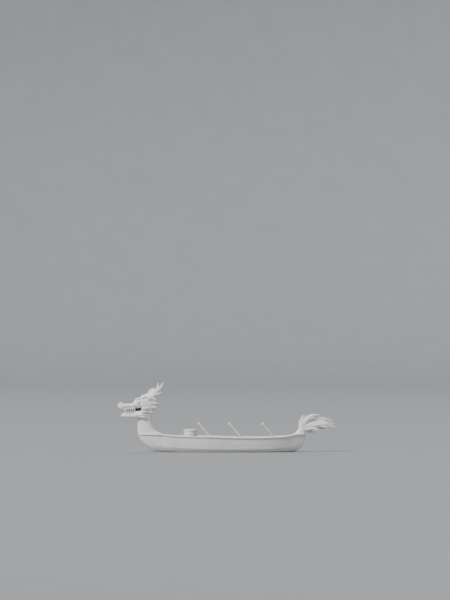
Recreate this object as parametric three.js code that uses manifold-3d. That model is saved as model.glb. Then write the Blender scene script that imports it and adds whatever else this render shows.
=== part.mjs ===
// A small wooden dragon boat for six paddlers and a drummer, empty and afloat.
// Millimetres. X runs towards the bow, Y to port and Z up, from the waterline amidships.
import * as THREE from 'three';
import { mergeVertices } from 'three/addons/utils/BufferGeometryUtils.js';
import Module from 'manifold-3d';

const wasm = await Module();
wasm.setup();

// Driving dimensions

const GAP = 0.3; // between pieces that touch
const SEAM = 0.5; // between planks laid edge to edge
const PLANK = 20; // thickness of the hull planks
const RIB = 24; // depth of a frame's ribs
const STERN_JOINT = -1990; // where the planks end on the stern block
const BOW_JOINT = 1950; // where they end on the bow block
const BLOCK_TOP = 545; // the blocks' flat tops, which carry the neck and the tail
const SHEER_RISE = 2080; // distance from amidships at which the top edges have risen to the blocks' tops
const HULL_STEPS = 18; // lengths that a plank is divided into
const CLEAR = 2; // around a level piece's ends, where nothing holds it

const RAIL = { thick: 26, high: 44, aft: -2330, fore: 2630 };
const INWALE = { thick: 24, high: 40 };
const RISER = { thick: 18, bottom: 197, top: 247, aft: -1700, fore: 1500 };

const FLOOR_TOP = -18;
const BOARD = 14; // thickness of the floorboards
const FLOORBOARDS = [
  { name: 'floorboard_middle', inner: -84, outer: 84, aft: -1540, fore: 1370 },
  { name: 'floorboard_port', inner: 88, outer: 262, aft: -900, fore: 700 },
  { name: 'floorboard_starboard', inner: -262, outer: -88, aft: -900, fore: 700 },
];
const FRAMES = { thick: 30, places: [-1000, -250, 500, 1250] };
const SEAT_LIP = 1; // by which a frame's floor timber rises beside the floorboards at least

const BENCH = { thick: 28, wide: 220 };
const DRUM_THWART = { aft: 890, fore: 1285 };
const DECK = 20; // thickness of the deck boards and bulkheads
const FORE_DECK = { aft: 1640, top: 470 };
const AFT_DECK = { fore: -1840, top: 440 };

const PADDLE = {
  slope: THREE.MathUtils.degToRad(48.7), // each leans forward at this slope
  length: 1137,
  shaft: 15, // radius
  // the blade narrows from its shoulder up to its root on the shaft, round a bend
  blade: { length: 348, width: 180, thick: 9, corner: 64, shoulder: 240, bend: 280, root: 13.5 },
  foot: 108, // where the shaft starts on the blade
  spine: 110, // length of the point that runs down the blade from there
  grip: { radius: 16, length: 86 },
  clear: 1.8, // between the blade's lowest corner and the planks
  top: 870, // height of the grips
  out: 270, // how far the grips stand from the centreline
};
// Where each pair's grips are along the boat, and how far apart their blades stand
const PADDLE_PAIRS = [
  { grip: 870, tip: 130 },
  { grip: -45, tip: 130 },
  { grip: -1035, tip: 48 },
];

const DRUM = {
  place: 1087,
  top: 678,
  wall: 16,
  // outer radius at shares of the height from the drum's foot up
  shape: [
    { share: 0, radius: 182 }, { share: 0.25, radius: 196 }, { share: 0.5, radius: 204 },
    { share: 0.75, radius: 209 }, { share: 1, radius: 211 },
  ],
  skin: 4,
  skirt: 46,
  hoop: 6,
  hoopUp: 14, // from the skirt's lower edge to the hoop
};
const STICKS = { length: 270, radius: 8, knob: 12, apart: 60 };

// Hull stations from stern to bow: place, underside, top of the sides, half breadth there, and how full the
// bottom is, from 0 for a sharp end to 1 amidships
const STATIONS = [
  { x: -1990, keel: 9, sheer: 526, half: 205, full: 0.15 },
  { x: -1750, keel: -36, sheer: 479, half: 300, full: 0.4 },
  { x: -1400, keel: -73, sheer: 461, half: 400, full: 0.7 },
  { x: -1000, keel: -90, sheer: 451, half: 468, full: 0.9 },
  { x: -500, keel: -98, sheer: 452, half: 512, full: 1 },
  { x: 0, keel: -100, sheer: 459, half: 530, full: 1 },
  { x: 500, keel: -98, sheer: 478, half: 522, full: 1 },
  { x: 1000, keel: -83, sheer: 485, half: 475, full: 0.85 },
  { x: 1400, keel: -57, sheer: 494, half: 400, full: 0.6 },
  { x: 1700, keel: -24, sheer: 506, half: 318, full: 0.35 },
  { x: 1950, keel: 2, sheer: 536, half: 238, full: 0.15 },
];

// Profiles of the two ends: how far each reaches at a height
const STEM = [
  { z: 2, x: 1962 }, { z: 6, x: 1995 }, { z: 21, x: 2106 }, { z: 69, x: 2199 }, { z: 108, x: 2295 },
  { z: 165, x: 2373 }, { z: 219, x: 2445 }, { z: 282, x: 2517 }, { z: 369, x: 2595 },
  { z: 456, x: 2634 }, { z: 545, x: 2670 },
];
const STERN = [
  { z: 9, x: -2002 }, { z: 24, x: -2055 }, { z: 45, x: -2124 }, { z: 105, x: -2205 },
  { z: 195, x: -2265 }, { z: 288, x: -2307 }, { z: 372, x: -2328 }, { z: 456, x: -2351 },
  { z: 545, x: -2367 },
];
// Half thickness of the rounded ends, the power by which the ends narrow towards it, and the share of it
// that their edge keeps
const NOSE = { bottom: 34, top: 52, power: 1.25, edge: 0.55 };

// Powers of the ovals that the carvings are made of, and how much fuller the neck is at its back
const OVAL = { upright: 2.2, lying: 2.4, egg: 0.3 };

// The neck from the bow block up: height, its back and front, half thickness
const NECK = [
  { z: 545.3, back: 1966, front: 2668, half: 128 },
  { z: 591, back: 2058, front: 2676, half: 124 },
  { z: 639, back: 2136, front: 2682, half: 121 },
  { z: 702, back: 2184, front: 2686, half: 118 },
  { z: 771, back: 2226, front: 2688, half: 116 },
  { z: 840, back: 2246, front: 2686, half: 115 },
  { z: 900, back: 2259, front: 2680, half: 114 },
  { z: 960, back: 2261, front: 2669, half: 113 },
  { z: 1030, back: 2252, front: 2650, half: 112 },
  { z: 1100, back: 2242, front: 2625, half: 110 },
  { z: 1180, back: 2238, front: 2590, half: 108 },
  { z: 1250, back: 2245, front: 2560, half: 104 },
];

// The head from its back to the snout: place, underside, top, half breadth
const HEAD = [
  { x: 2060, bottom: 1772, top: 1835, half: 28 },
  { x: 2100, bottom: 1738, top: 1868, half: 66 },
  { x: 2150, bottom: 1690, top: 1878, half: 98 },
  { x: 2190, bottom: 1620, top: 1872, half: 118 },
  { x: 2206, bottom: 1290, top: 1868, half: 124 },
  { x: 2240, bottom: 1165, top: 1856, half: 138 },
  { x: 2290, bottom: 1105, top: 1810, half: 154 },
  { x: 2349, bottom: 1080, top: 1762, half: 168 },
  { x: 2466, bottom: 1052, top: 1706, half: 180 },
  { x: 2560, bottom: 1034, top: 1664, half: 183 },
  { x: 2566, bottom: 1338, top: 1661, half: 183 },
  { x: 2582, bottom: 1299, top: 1654, half: 181 },
  { x: 2628, bottom: 1264, top: 1632, half: 177 },
  { x: 2673, bottom: 1268, top: 1610, half: 171 },
  { x: 2721, bottom: 1288, top: 1588, half: 162 },
  { x: 2764, bottom: 1292, top: 1562, half: 152 },
  { x: 2800, bottom: 1292, top: 1505, half: 140 },
  { x: 2832, bottom: 1291, top: 1458, half: 130 },
  { x: 2890, bottom: 1290, top: 1446, half: 122 },
  { x: 3000, bottom: 1285, top: 1445, half: 115 },
  { x: 3052, bottom: 1268, top: 1445, half: 113 },
  { x: 3110, bottom: 1262, top: 1449, half: 110 },
  { x: 3150, bottom: 1272, top: 1480, half: 104 },
  { x: 3188, bottom: 1287, top: 1494, half: 95 },
  { x: 3232, bottom: 1307, top: 1470, half: 78 },
  { x: 3264, bottom: 1328, top: 1425, half: 54 },
  { x: 3285, bottom: 1352, top: 1384, half: 20 },
];

// The lower jaw from the neck forward
const JAW = [
  { x: 2566, bottom: 992, top: 1322, half: 170 },
  { x: 2582, bottom: 990, top: 1284, half: 168 },
  { x: 2628, bottom: 988, top: 1249, half: 163 },
  { x: 2673, bottom: 990, top: 1252, half: 156 },
  { x: 2715, bottom: 1008, top: 1252, half: 148 },
  { x: 2752, bottom: 994, top: 1196, half: 140 },
  { x: 2790, bottom: 998, top: 1180, half: 132 },
  { x: 2860, bottom: 1006, top: 1176, half: 122 },
  { x: 2928, bottom: 1014, top: 1174, half: 114 },
  { x: 2997, bottom: 1000, top: 1172, half: 107 },
  { x: 3060, bottom: 1016, top: 1164, half: 99 },
  { x: 3123, bottom: 1036, top: 1160, half: 84 },
  { x: 3160, bottom: 1042, top: 1138, half: 64 },
  { x: 3186, bottom: 1078, top: 1112, half: 26 },
];

const TEETH = {
  places: [3052, 3000, 2944, 2886, 2826, 2768],
  inset: 24, // from the jaw's side to the middle of the row
  gum: 13, // height and half breadth of the strip that carries them
  sink: 32, // how far the strip reaches into the jaw, which its top or underside cuts back
  root: 19, // radius
  upperLength: [66, 44, 44, 44, 42, 38],
  lowerLength: [30, 36, 38, 38, 36, 32],
};
const LINING = { aft: 2600, fore: 3004, half: 58, bottom: 1140, top: 1340 };
// The tongue grows thinner towards its tip, whose underside rises and whose top falls by these, and whose
// breadth is a share of the rest
const TONGUE = { aft: 2778, fore: 3070, half: 66, bottom: 1208, top: 1252, rise: 7.5, fall: 15, tip: 0.55 };

const EYE = { x: 2650, y: 158, z: 1490, radius: 52 };

// Locks and horns are given by their root, a point that bends them and their tip, each as place, distance
// from the centreline and height, with half depth in the side view and half breadth across it
const LOCK = { power: 2.6, tip: 0.05 }; // how long a lock stays full, and its tip's share of its size
const HORN = [
  { root: [2150, 62, 1815], bend: [1925, 105, 1885], tip: [1914, 150, 2104], depth: 46, breadth: 34 },
  { root: [2125, 58, 1820], bend: [2064, 70, 1950], tip: [2064, 96, 2076], depth: 48, breadth: 32 },
];
const EAR = {
  root: [2400, 140, 1560], bend: [2330, 210, 1600], tip: [2210, 236, 1690], depth: 46, breadth: 20,
};
const CREST = [
  { root: [2350, 0, 1700], bend: [2330, 0, 1800], tip: [2279, 0, 1893], depth: 44, breadth: 20 },
  { root: [2260, 0, 1790], bend: [2250, 0, 1860], tip: [2196, 0, 1926], depth: 44, breadth: 20 },
  { root: [2560, 0, 1600], bend: [2560, 0, 1680], tip: [2470, 0, 1716], depth: 40, breadth: 20 },
];
const BROW = [
  { root: [2530, 134, 1606], bend: [2668, 140, 1600], tip: [2768, 118, 1590], depth: 34, breadth: 26 },
  { root: [2580, 136, 1596], bend: [2480, 152, 1648], tip: [2372, 160, 1672], depth: 30, breadth: 24 },
];
// The strips that the mane's locks and the crest's spikes stand on, which follow the head
const MANE_ROOT = { thick: 22, back: 18, low: [2100, -260, 1190], high: [2350, 260, 1740] };
const CREST_ROOT = { thick: 16, back: 0, low: [2170, -17, 1670], high: [2600, 17, 2000] };
const MANE_MIDDLE = [
  { root: [2300, 0, 1600], bend: [2170, 0, 1600], tip: [2062, 0, 1570], depth: 62, breadth: 44 },
  { root: [2300, 0, 1480], bend: [2140, 0, 1500], tip: [2000, 0, 1455], depth: 60, breadth: 44 },
  { root: [2300, 0, 1370], bend: [2140, 0, 1400], tip: [2024, 0, 1371], depth: 62, breadth: 44 },
  { root: [2300, 0, 1280], bend: [2230, 0, 1262], tip: [2166, 0, 1212], depth: 58, breadth: 40 },
];
const MANE_SIDE = [
  { root: [2300, 80, 1700], bend: [2080, 110, 1680], tip: [1937, 140, 1805], depth: 58, breadth: 40 },
  { root: [2330, 120, 1560], bend: [2180, 165, 1560], tip: [2085, 190, 1530], depth: 56, breadth: 34 },
  { root: [2340, 120, 1450], bend: [2170, 170, 1460], tip: [2040, 190, 1412], depth: 56, breadth: 34 },
  { root: [2350, 110, 1330], bend: [2190, 160, 1350], tip: [2070, 170, 1350], depth: 54, breadth: 34 },
  { root: [2360, 100, 1230], bend: [2280, 140, 1210], tip: [2200, 140, 1186], depth: 48, breadth: 30 },
];

// The tail's stalk from the stern block up
const STALK = [
  { z: 545.3, back: -2366, front: -2010, half: 96 },
  { z: 580, back: -2370, front: -2046, half: 90 },
  { z: 645, back: -2374, front: -2110, half: 84 },
  { z: 700, back: -2380, front: -2146, half: 80 },
  { z: 740, back: -2380, front: -2172, half: 74 },
];
const PLUME_MIDDLE = [
  { root: [-2236, 0, 690], bend: [-2190, 0, 985], tip: [-2362, 0, 1112], depth: 88, breadth: 60 },
  { root: [-2270, 0, 680], bend: [-2640, 0, 1130], tip: [-3204, 0, 911], depth: 98, breadth: 62 },
  { root: [-2280, 0, 680], bend: [-2700, 0, 770], tip: [-2962, 0, 692], depth: 76, breadth: 60 },
  { root: [-2290, 0, 645], bend: [-2450, 0, 650], tip: [-2630, 0, 566], depth: 64, breadth: 54 },
];
const PLUME_SIDE = [
  { root: [-2250, 24, 700], bend: [-2380, 60, 1140], tip: [-2800, 92, 1103], depth: 92, breadth: 44 },
  { root: [-2270, 26, 680], bend: [-2700, 80, 930], tip: [-3284, 86, 738], depth: 92, breadth: 46 },
  { root: [-2290, 26, 660], bend: [-2600, 78, 760], tip: [-2826, 96, 638], depth: 66, breadth: 42 },
  { root: [-2400, 30, 800], bend: [-2900, 66, 930], tip: [-3226, 60, 834], depth: 60, breadth: 36 },
];

const FINISHES = {
  white: new THREE.MeshStandardMaterial({ color: 0xf2f1ec, roughness: 0.45, metalness: 0 }),
  timber: new THREE.MeshStandardMaterial({ color: 0xc9a573, roughness: 0.6, metalness: 0 }),
  dark: new THREE.MeshStandardMaterial({ color: 0x18171a, roughness: 0.6, metalness: 0 }),
  hide: new THREE.MeshStandardMaterial({ color: 0xe8dcc0, roughness: 0.7, metalness: 0 }),
};

// Tables and lines

function sample(start, end, count) {
  return Array.from({ length: count + 1 }, (_, step) => start + ((end - start) * step) / count);
}

// One column of a table at a place between its rows, on a smooth line through them that never overshoots.
// The rows may run up or down in the column that they are found by.
function read(table, by, place, column) {
  const rows = table[0][by] < table.at(-1)[by] ? table : [...table].reverse();
  const rise = (row) => (rows[row + 1][column] - rows[row][column]) / (rows[row + 1][by] - rows[row][by]);
  const slope = (row) => {
    const before = rise(Math.max(row - 1, 0));
    const after = rise(Math.min(row, rows.length - 2));
    return before * after <= 0 ? 0 : (2 * before * after) / (before + after);
  };
  const held = THREE.MathUtils.clamp(place, rows[0][by], rows.at(-1)[by]);
  const row = Math.max(0, rows.findLastIndex((entry, at) => entry[by] <= held && at < rows.length - 1));
  const span = rows[row + 1][by] - rows[row][by];
  const t = (held - rows[row][by]) / span;
  const bend = t * (1 - t) * span;
  return rows[row][column] * (1 - t) ** 2 * (1 + 2 * t)
    + rows[row + 1][column] * t * t * (3 - 2 * t)
    + bend * (slope(row) * (1 - t) - slope(row + 1) * t);
}

// The hull's outside at a station, as [y, z] from the centreline out to the port top edge
function outline(x) {
  const columns = ['keel', 'sheer', 'half', 'full'];
  const [keel, sheer, half, full] = columns.map((column) => read(STATIONS, 'x', x, column));
  const deep = sheer - keel;
  return [
    [0, keel],
    [half * 0.2, keel],
    [half * (0.46 + 0.17 * full), keel + deep * (0.13 - 0.06 * full)],
    [half * (0.73 + 0.15 * full), keel + deep * 0.34],
    [half, sheer],
  ];
}

// The same line moved inwards by a distance and cut level at the top
function insetAtStation(x, distance) {
  const line = outline(x);
  const normals = line.slice(1).map(([y, z], row) => {
    const [dy, dz] = [y - line[row][0], z - line[row][1]];
    const long = Math.hypot(dy, dz);
    return [-dz / long, dy / long];
  });
  return line.map(([y, z], row) => {
    if (row === 0) return [0, z + distance];
    const before = normals[row - 1];
    if (row === line.length - 1) return [y + distance / before[0], z];
    const after = normals[row];
    const share = distance / (1 + before[0] * after[0] + before[1] * after[1]);
    return [y + (before[0] + after[0]) * share, z + (before[1] + after[1]) * share];
  });
}

// The moved line between two of the hull's places, where the planks run straight from one to the next
function inset(x, distance) {
  const step = (BOW_JOINT - STERN_JOINT) / HULL_STEPS;
  const before = Math.min(Math.floor((x - STERN_JOINT) / step), HULL_STEPS - 1);
  const share = (x - STERN_JOINT) / step - before;
  const [aft, fore] = [before, before + 1].map((row) => insetAtStation(STERN_JOINT + row * step, distance));
  return aft.map(([y, z], row) => [y + (fore[row][0] - y) * share, z + (fore[row][1] - z) * share]);
}

// Where a line of [y, z] points crosses a height
function crossing(line, z) {
  const row = Math.max(1, line.findIndex((point, at) => at > 0 && point[1] >= z));
  const [[y0, z0], [y1, z1]] = [line[row - 1], line[row]];
  return z1 === z0 ? y1 : y0 + ((y1 - y0) * (z - z0)) / (z1 - z0);
}

function heightAt(line, y) {
  const row = Math.max(1, line.findIndex((point) => point[0] >= y));
  const [[y0, z0], [y1, z1]] = [line[row - 1], line[row]];
  return z0 + ((z1 - z0) * (y - y0)) / (y1 - y0);
}

// Half breadth of the solid ends: from the planks' section at the joint to the rounded nose
function blockHalf(end, x, z) {
  const reach = read(end.profile, 'z', z, 'x');
  const share = THREE.MathUtils.clamp((x - end.joint) / (reach - end.joint), 0, 1);
  const nose = THREE.MathUtils.mapLinear(z, end.profile[0].z, BLOCK_TOP, NOSE.bottom, NOSE.top);
  const wide = crossing(outline(end.joint), Math.min(z, end.sheer));
  return nose + (Math.max(wide, nose) - nose) * (1 - share ** NOSE.power);
}

const BOW = { joint: BOW_JOINT, profile: STEM, sheer: STATIONS.at(-1).sheer };
const AFT = { joint: STERN_JOINT, profile: STERN, sheer: STATIONS[0].sheer };

// Half breadth of the whole boat's outside at a place and height
function halfAt(x, z) {
  if (x > BOW_JOINT) return blockHalf(BOW, x, z);
  if (x < STERN_JOINT) return blockHalf(AFT, x, z);
  return crossing(inset(x, 0), z);
}

function sheerAt(x) {
  if (x >= STERN_JOINT && x <= BOW_JOINT) return inset(x, 0).at(-1)[1];
  const end = x > 0 ? BOW : AFT;
  const rise = [{ x: end.joint, z: end.sheer }, { x: Math.sign(x) * SHEER_RISE, z: BLOCK_TOP }];
  return read(rise, 'x', x, 'z');
}

// Solids

function geometryOf(positions, index) {
  const geometry = new THREE.BufferGeometry();
  geometry.setAttribute('position', new THREE.Float32BufferAttribute(positions, 3));
  geometry.setIndex(index);
  geometry.computeVertexNormals();
  return geometry;
}

function volumeOf(positions, index) {
  const corner = (at) => new THREE.Vector3().fromArray(positions, 3 * at);
  let volume = 0;
  for (let at = 0; at < index.length; at += 3) {
    volume += corner(index[at]).dot(corner(index[at + 1]).cross(corner(index[at + 2]))) / 6;
  }
  return volume;
}

// The axis that a flat ring of points faces most
function facing(ring) {
  const normal = new THREE.Vector3();
  ring.forEach((point, at) => {
    const next = ring[(at + 1) % ring.length];
    normal.add(new THREE.Vector3(...point).cross(new THREE.Vector3(...next)));
  });
  const shares = normal.toArray().map(Math.abs);
  return shares.indexOf(Math.max(...shares));
}

// A flat lid on a ring of points, as triples of their numbers that run the way the ring does
function lid(ring) {
  const dropped = facing(ring);
  const flat = ring.map((p) => new THREE.Vector2(...p.filter((_, axis) => axis !== dropped)));
  const turn = Math.sign(THREE.ShapeUtils.area(flat));
  return THREE.ShapeUtils.triangulateShape(flat, []).map((corners) => {
    const same = Math.sign(THREE.ShapeUtils.area(corners.map((at) => flat[at]))) === turn;
    return same ? corners : [...corners].reverse();
  });
}

// A closed solid through rings of [x, y, z] points, all with the same count
function loft(rings) {
  const count = rings[0].length;
  const index = [];
  rings.slice(1).forEach((_, row) => {
    for (let at = 0; at < count; at += 1) {
      const next = (at + 1) % count;
      const [low, high] = [row * count, (row + 1) * count];
      index.push(low + at, low + next, high + next, low + at, high + next, high + at);
    }
  });
  const last = (rings.length - 1) * count;
  lid(rings[0]).forEach((corners) => index.push(...[...corners].reverse()));
  lid(rings.at(-1)).forEach((corners) => index.push(...corners.map((at) => at + last)));
  const positions = rings.flat(2);
  if (volumeOf(positions, index) < 0) index.reverse();
  return geometryOf(positions, index);
}

function solidOf(geometry) {
  const bare = geometry.clone();
  bare.deleteAttribute('normal');
  bare.deleteAttribute('uv');
  const merged = mergeVertices(bare, 1e-4);
  return new wasm.Manifold(new wasm.Mesh({
    numProp: 3,
    vertProperties: merged.attributes.position.array,
    triVerts: Uint32Array.from(merged.index.array),
  }));
}

function shapeOf(solid) {
  const mesh = solid.getMesh();
  return geometryOf(Array.from(mesh.vertProperties), Array.from(mesh.triVerts));
}

function join(geometries) {
  return geometries.map(solidOf).reduce((whole, solid) => whole.add(solid));
}

function mirrored(geometry) {
  const index = Array.from(geometry.index.array).reverse();
  const { array } = geometry.attributes.position;
  return geometryOf(Array.from(array, (value, at) => (at % 3 === 1 ? -value : value)), index);
}

// Points of an oval in a plane: shares of its half width and half height, squarer for a higher power
function oval(count, power = 2) {
  return sample(0, 2 * Math.PI, count).slice(0, count).map((angle) => [
    Math.sign(Math.cos(angle)) * Math.abs(Math.cos(angle)) ** (2 / power),
    Math.sign(Math.sin(angle)) * Math.abs(Math.sin(angle)) ** (2 / power),
  ]);
}

// A form that stands up, such as the neck: level ovals, fuller at the back than at the front by a share
function upright(table, { grow = 0, egg = 0, count = 14 } = {}) {
  return loft(table.map(({ z, back, front, half }) => oval(count, OVAL.upright).map(([forward, sideways]) => [
    (back + front) / 2 + forward * ((front - back) / 2 + grow),
    sideways * (half + grow) * (1 - egg * forward),
    z,
  ])));
}

// A form that lies fore and aft, such as the head: upright ovals from a top and an underside
function lying(table, { grow = 0, count = 14 } = {}) {
  return loft(table.map(({ x, bottom, top, half }) => oval(count, OVAL.lying).map(([sideways, upwards]) => [
    x,
    sideways * (half + grow),
    (bottom + top) / 2 + upwards * ((top - bottom) / 2 + grow),
  ])));
}

// A horn or a lock of hair: an oval carried along a bent line, full at first and drawn to a point
function lock({ root, bend, tip, depth, breadth }, { grow = 0, steps = 5, count = 6 } = {}) {
  const points = [root, bend, tip].map((point) => new THREE.Vector3(...point));
  const line = new THREE.QuadraticBezierCurve3(...points);
  const sideways = new THREE.Vector3(0, 1, 0);
  return loft(sample(0, 1, steps).map((share) => {
    const centre = line.getPoint(share);
    const along = line.getTangent(share);
    const across = sideways.clone().addScaledVector(along, -along.y).normalize();
    const upwards = across.clone().cross(along).normalize();
    const size = Math.max(1 - share ** LOCK.power, LOCK.tip);
    return oval(count).map(([wide, high]) => centre.clone()
      .addScaledVector(across, wide * (breadth * size + grow))
      .addScaledVector(upwards, high * (depth * size + grow))
      .toArray());
  }));
}

function bothSides(forms, options) {
  return forms.flatMap((form) => [lock(form, options), mirrored(lock(form, options))]);
}

const root = new THREE.Group();

function place(name, geometry, finish, group = root) {
  const mesh = new THREE.Mesh(geometry, FINISHES[finish].clone());
  mesh.name = name;
  group.add(mesh);
  return mesh;
}

function placePair(name, geometry, finish) {
  place(`${name}_port`, geometry, finish);
  place(`${name}_starboard`, mirrored(geometry), finish);
}

// Hull

const HULL_PLACES = sample(STERN_JOINT, BOW_JOINT, HULL_STEPS);

// A plank between two edges of the hull's line, with half a seam left at each. Every other plank's rings run
// the other way, so that the faces of a seam are split along the same diagonal on both of its sides.
function plank(edge) {
  return loft(HULL_PLACES.map((x) => {
    const [outer, inner] = [inset(x, 0), inset(x, PLANK)];
    const cut = (line, from, to) => {
      const [dy, dz] = [line[to][0] - line[from][0], line[to][1] - line[from][1]];
      const share = SEAM / 2 / Math.hypot(dy, dz);
      return [x, line[from][0] + dy * share, line[from][1] + dz * share];
    };
    const ring = [
      cut(outer, edge, edge + 1), cut(outer, edge + 1, edge),
      cut(inner, edge + 1, edge), cut(inner, edge, edge + 1),
    ];
    return edge % 2 ? [ring[1], ring[0], ring[3], ring[2]] : ring;
  }));
}

function bottomPlank() {
  const half = loft(HULL_PLACES.map((x) => {
    const [outer, inner] = [inset(x, 0)[1], inset(x, PLANK)[1]];
    const cut = SEAM / 2;
    return [[x, 0, outer[1]], [x, outer[0] - cut, outer[1]], [x, inner[0] - cut, inner[1]], [x, 0, inner[1]]];
  }));
  return shapeOf(join([half, mirrored(half)]));
}

// A strip along the outside of the top edge, from one rounded end of the boat to the other
function rail() {
  const places = [
    ...sample(RAIL.aft, STERN_JOINT, 4).slice(0, -1),
    ...HULL_PLACES,
    ...sample(BOW_JOINT, RAIL.fore, 6).slice(1),
  ];
  return loft(places.map((x) => {
    const top = sheerAt(x);
    const foot = top - RAIL.high;
    const [high, low] = [halfAt(x, top) + GAP, halfAt(x, foot) + GAP];
    return [[x, low, foot], [x, low + RAIL.thick, foot], [x, high + RAIL.thick, top], [x, high, top]];
  }));
}

function inwale() {
  const faces = [PLANK + GAP, PLANK + INWALE.thick];
  return loft(HULL_PLACES.map((x) => {
    const top = sheerAt(x);
    const [outer, inner] = faces.map((distance) => inset(x, distance));
    return [
      [x, crossing(outer, top), top], [x, crossing(outer, top - INWALE.high), top - INWALE.high],
      [x, crossing(inner, top - INWALE.high), top - INWALE.high], [x, crossing(inner, top), top],
    ];
  }));
}

function riser() {
  return loft(sample(RISER.aft, RISER.fore, HULL_STEPS - 4).map((x) => {
    const line = inset(x, PLANK + RIB + 2 * GAP);
    const [low, high] = [crossing(line, RISER.bottom), crossing(line, RISER.top)];
    return [
      [x, low, RISER.bottom], [x, high, RISER.top],
      [x, high - RISER.thick, RISER.top], [x, low - RISER.thick, RISER.bottom],
    ];
  }));
}

// A closed end of the boat: level plan sections from the planks' joint out to the rounded nose
function block(end) {
  const direction = Math.sign(end.joint);
  return loft([...end.profile].map(({ z, x: reach }) => {
    const start = end.joint + direction * GAP;
    const port = sample(0, 1, 6).map((share) => {
      const x = start + (reach - start) * share;
      return [x, blockHalf(end, x, z) * (share === 1 ? NOSE.edge : 1), z];
    });
    return [...port, ...port.map(([x, y]) => [x, -y, z]).reverse()];
  }));
}

const PLANK_NAMES = ['garboard', 'bilge_plank', 'sheer_plank'];
const planks = PLANK_NAMES.map((name, row) => ({ name, geometry: plank(row + 1) }));
// The planks moved into the boat by a gap's width: what is fitted across them is cut back by this
const plankSpace = join([
  bottomPlank().translate(0, 0, GAP),
  ...planks.flatMap(({ geometry }) => {
    const moved = geometry.clone().translate(0, -GAP, GAP);
    return [moved, mirrored(moved)];
  }),
]);

function fitted(geometry) {
  return shapeOf(solidOf(geometry).subtract(plankSpace));
}

place('bottom_plank', bottomPlank(), 'white');
planks.forEach(({ name, geometry }) => placePair(name, geometry, 'white'));
const behindRail = [planks[2].geometry, block(BOW), block(AFT)]
  .map((geometry) => geometry.clone().translate(0, GAP, 0));
placePair('rub_rail', shapeOf(solidOf(rail()).subtract(join(behindRail))), 'white');
placePair('inwale', fitted(inwale()), 'white');
placePair('seat_riser', riser(), 'timber');
place('bow_block', block(BOW), 'white');
place('stern_block', block(AFT), 'white');

// Frames, floor and benches

const boardUnder = FLOOR_TOP - BOARD;

function boardReach(x) {
  const boards = FLOORBOARDS.filter(({ aft, fore }) => x > aft && x < fore);
  return Math.max(0, ...boards.map(({ outer }) => outer)) + CLEAR;
}

// Half of a frame's outline: out along the planks to the inwale, and back along the ribs' inside
function frameHalf(x) {
  const outer = inset(x, PLANK + GAP);
  const inner = inset(x, PLANK + RIB);
  const head = sheerAt(x) - INWALE.high - GAP;
  const step = boardReach(x);
  const rise = Math.max(heightAt(inner, step), boardUnder - GAP + SEAT_LIP);
  return {
    outer: [outer[1], outer[2], outer[3], [crossing(outer, head), head]],
    inner: [[crossing(inner, head), head], inner[3], inner[2], [step, rise], [step, boardUnder - GAP]],
  };
}

function frame(middle) {
  return fitted(loft([-0.5, 0.5].map((share) => {
    const x = middle + share * FRAMES.thick;
    const { outer, inner } = frameHalf(x);
    const port = [...outer, ...inner].map(([y, z]) => [x, y, z]);
    const starboard = [...port].reverse().map(([, y, z]) => [x, -y, z]);
    return [...port, ...starboard];
  })));
}

function board({ aft, fore, inner, outer }) {
  const box = new THREE.BoxGeometry(fore - aft, outer - inner, BOARD);
  return box.translate((aft + fore) / 2, (inner + outer) / 2, FLOOR_TOP - BOARD / 2);
}

// How far a level piece may reach sideways between two places, clear of what lies at a distance from the
// hull's outside
function reachBetween(aft, fore, z, distance) {
  return Math.min(...[aft, fore].map((x) => crossing(inset(x, distance), z))) - CLEAR;
}

function bench(aft, fore) {
  const reach = reachBetween(aft, fore, RISER.top, PLANK + RIB);
  const box = new THREE.BoxGeometry(fore - aft, 2 * reach, BENCH.thick);
  return box.translate((aft + fore) / 2, 0, RISER.top + GAP + BENCH.thick / 2);
}

function deck(aft, fore, top) {
  return loft(sample(aft, fore, 3).map((x) => {
    const y = crossing(inset(x, PLANK + INWALE.thick + GAP), top - DECK) - CLEAR / 2;
    return [[x, -y, top - DECK], [x, y, top - DECK], [x, y, top], [x, -y, top]];
  }));
}

function bulkhead(aft, fore, top) {
  return fitted(loft([aft, fore].map((x) => {
    const line = inset(x, PLANK + GAP);
    const port = [line[1], line[2], line[3], [crossing(line, top), top]].map(([y, z]) => [x, y, z]);
    return [...port, ...[...port].reverse().map(([, y, z]) => [x, -y, z])];
  })));
}

// The benches stand where the shafts that lean on them cross the benches' top aft edges
const benchTop = RISER.top + GAP + BENCH.thick;
const leanBack = (PADDLE.top - benchTop) / Math.tan(PADDLE.slope);
const shaftReach = (PADDLE.shaft + GAP) / Math.sin(PADDLE.slope);
const benchPlaces = PADDLE_PAIRS.map(({ grip }) => grip - leanBack + shaftReach);

FRAMES.places.forEach((x, row) => place(`frame_${row + 1}`, frame(x), 'timber'));
FLOORBOARDS.forEach((entry) => place(entry.name, board(entry), 'timber'));
benchPlaces.forEach((aft, row) => place(`bench_${row + 1}`, bench(aft, aft + BENCH.wide), 'timber'));
place('drum_thwart', bench(DRUM_THWART.aft, DRUM_THWART.fore), 'timber');
place('fore_deck', deck(FORE_DECK.aft, BOW_JOINT, FORE_DECK.top), 'timber');
place('fore_bulkhead', bulkhead(FORE_DECK.aft, FORE_DECK.aft + DECK, FORE_DECK.top - DECK - GAP), 'timber');
place('aft_deck', deck(STERN_JOINT, AFT_DECK.fore, AFT_DECK.top), 'timber');
place('aft_bulkhead', bulkhead(AFT_DECK.fore - DECK, AFT_DECK.fore, AFT_DECK.top - DECK - GAP), 'timber');

// Dragon's head

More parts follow.
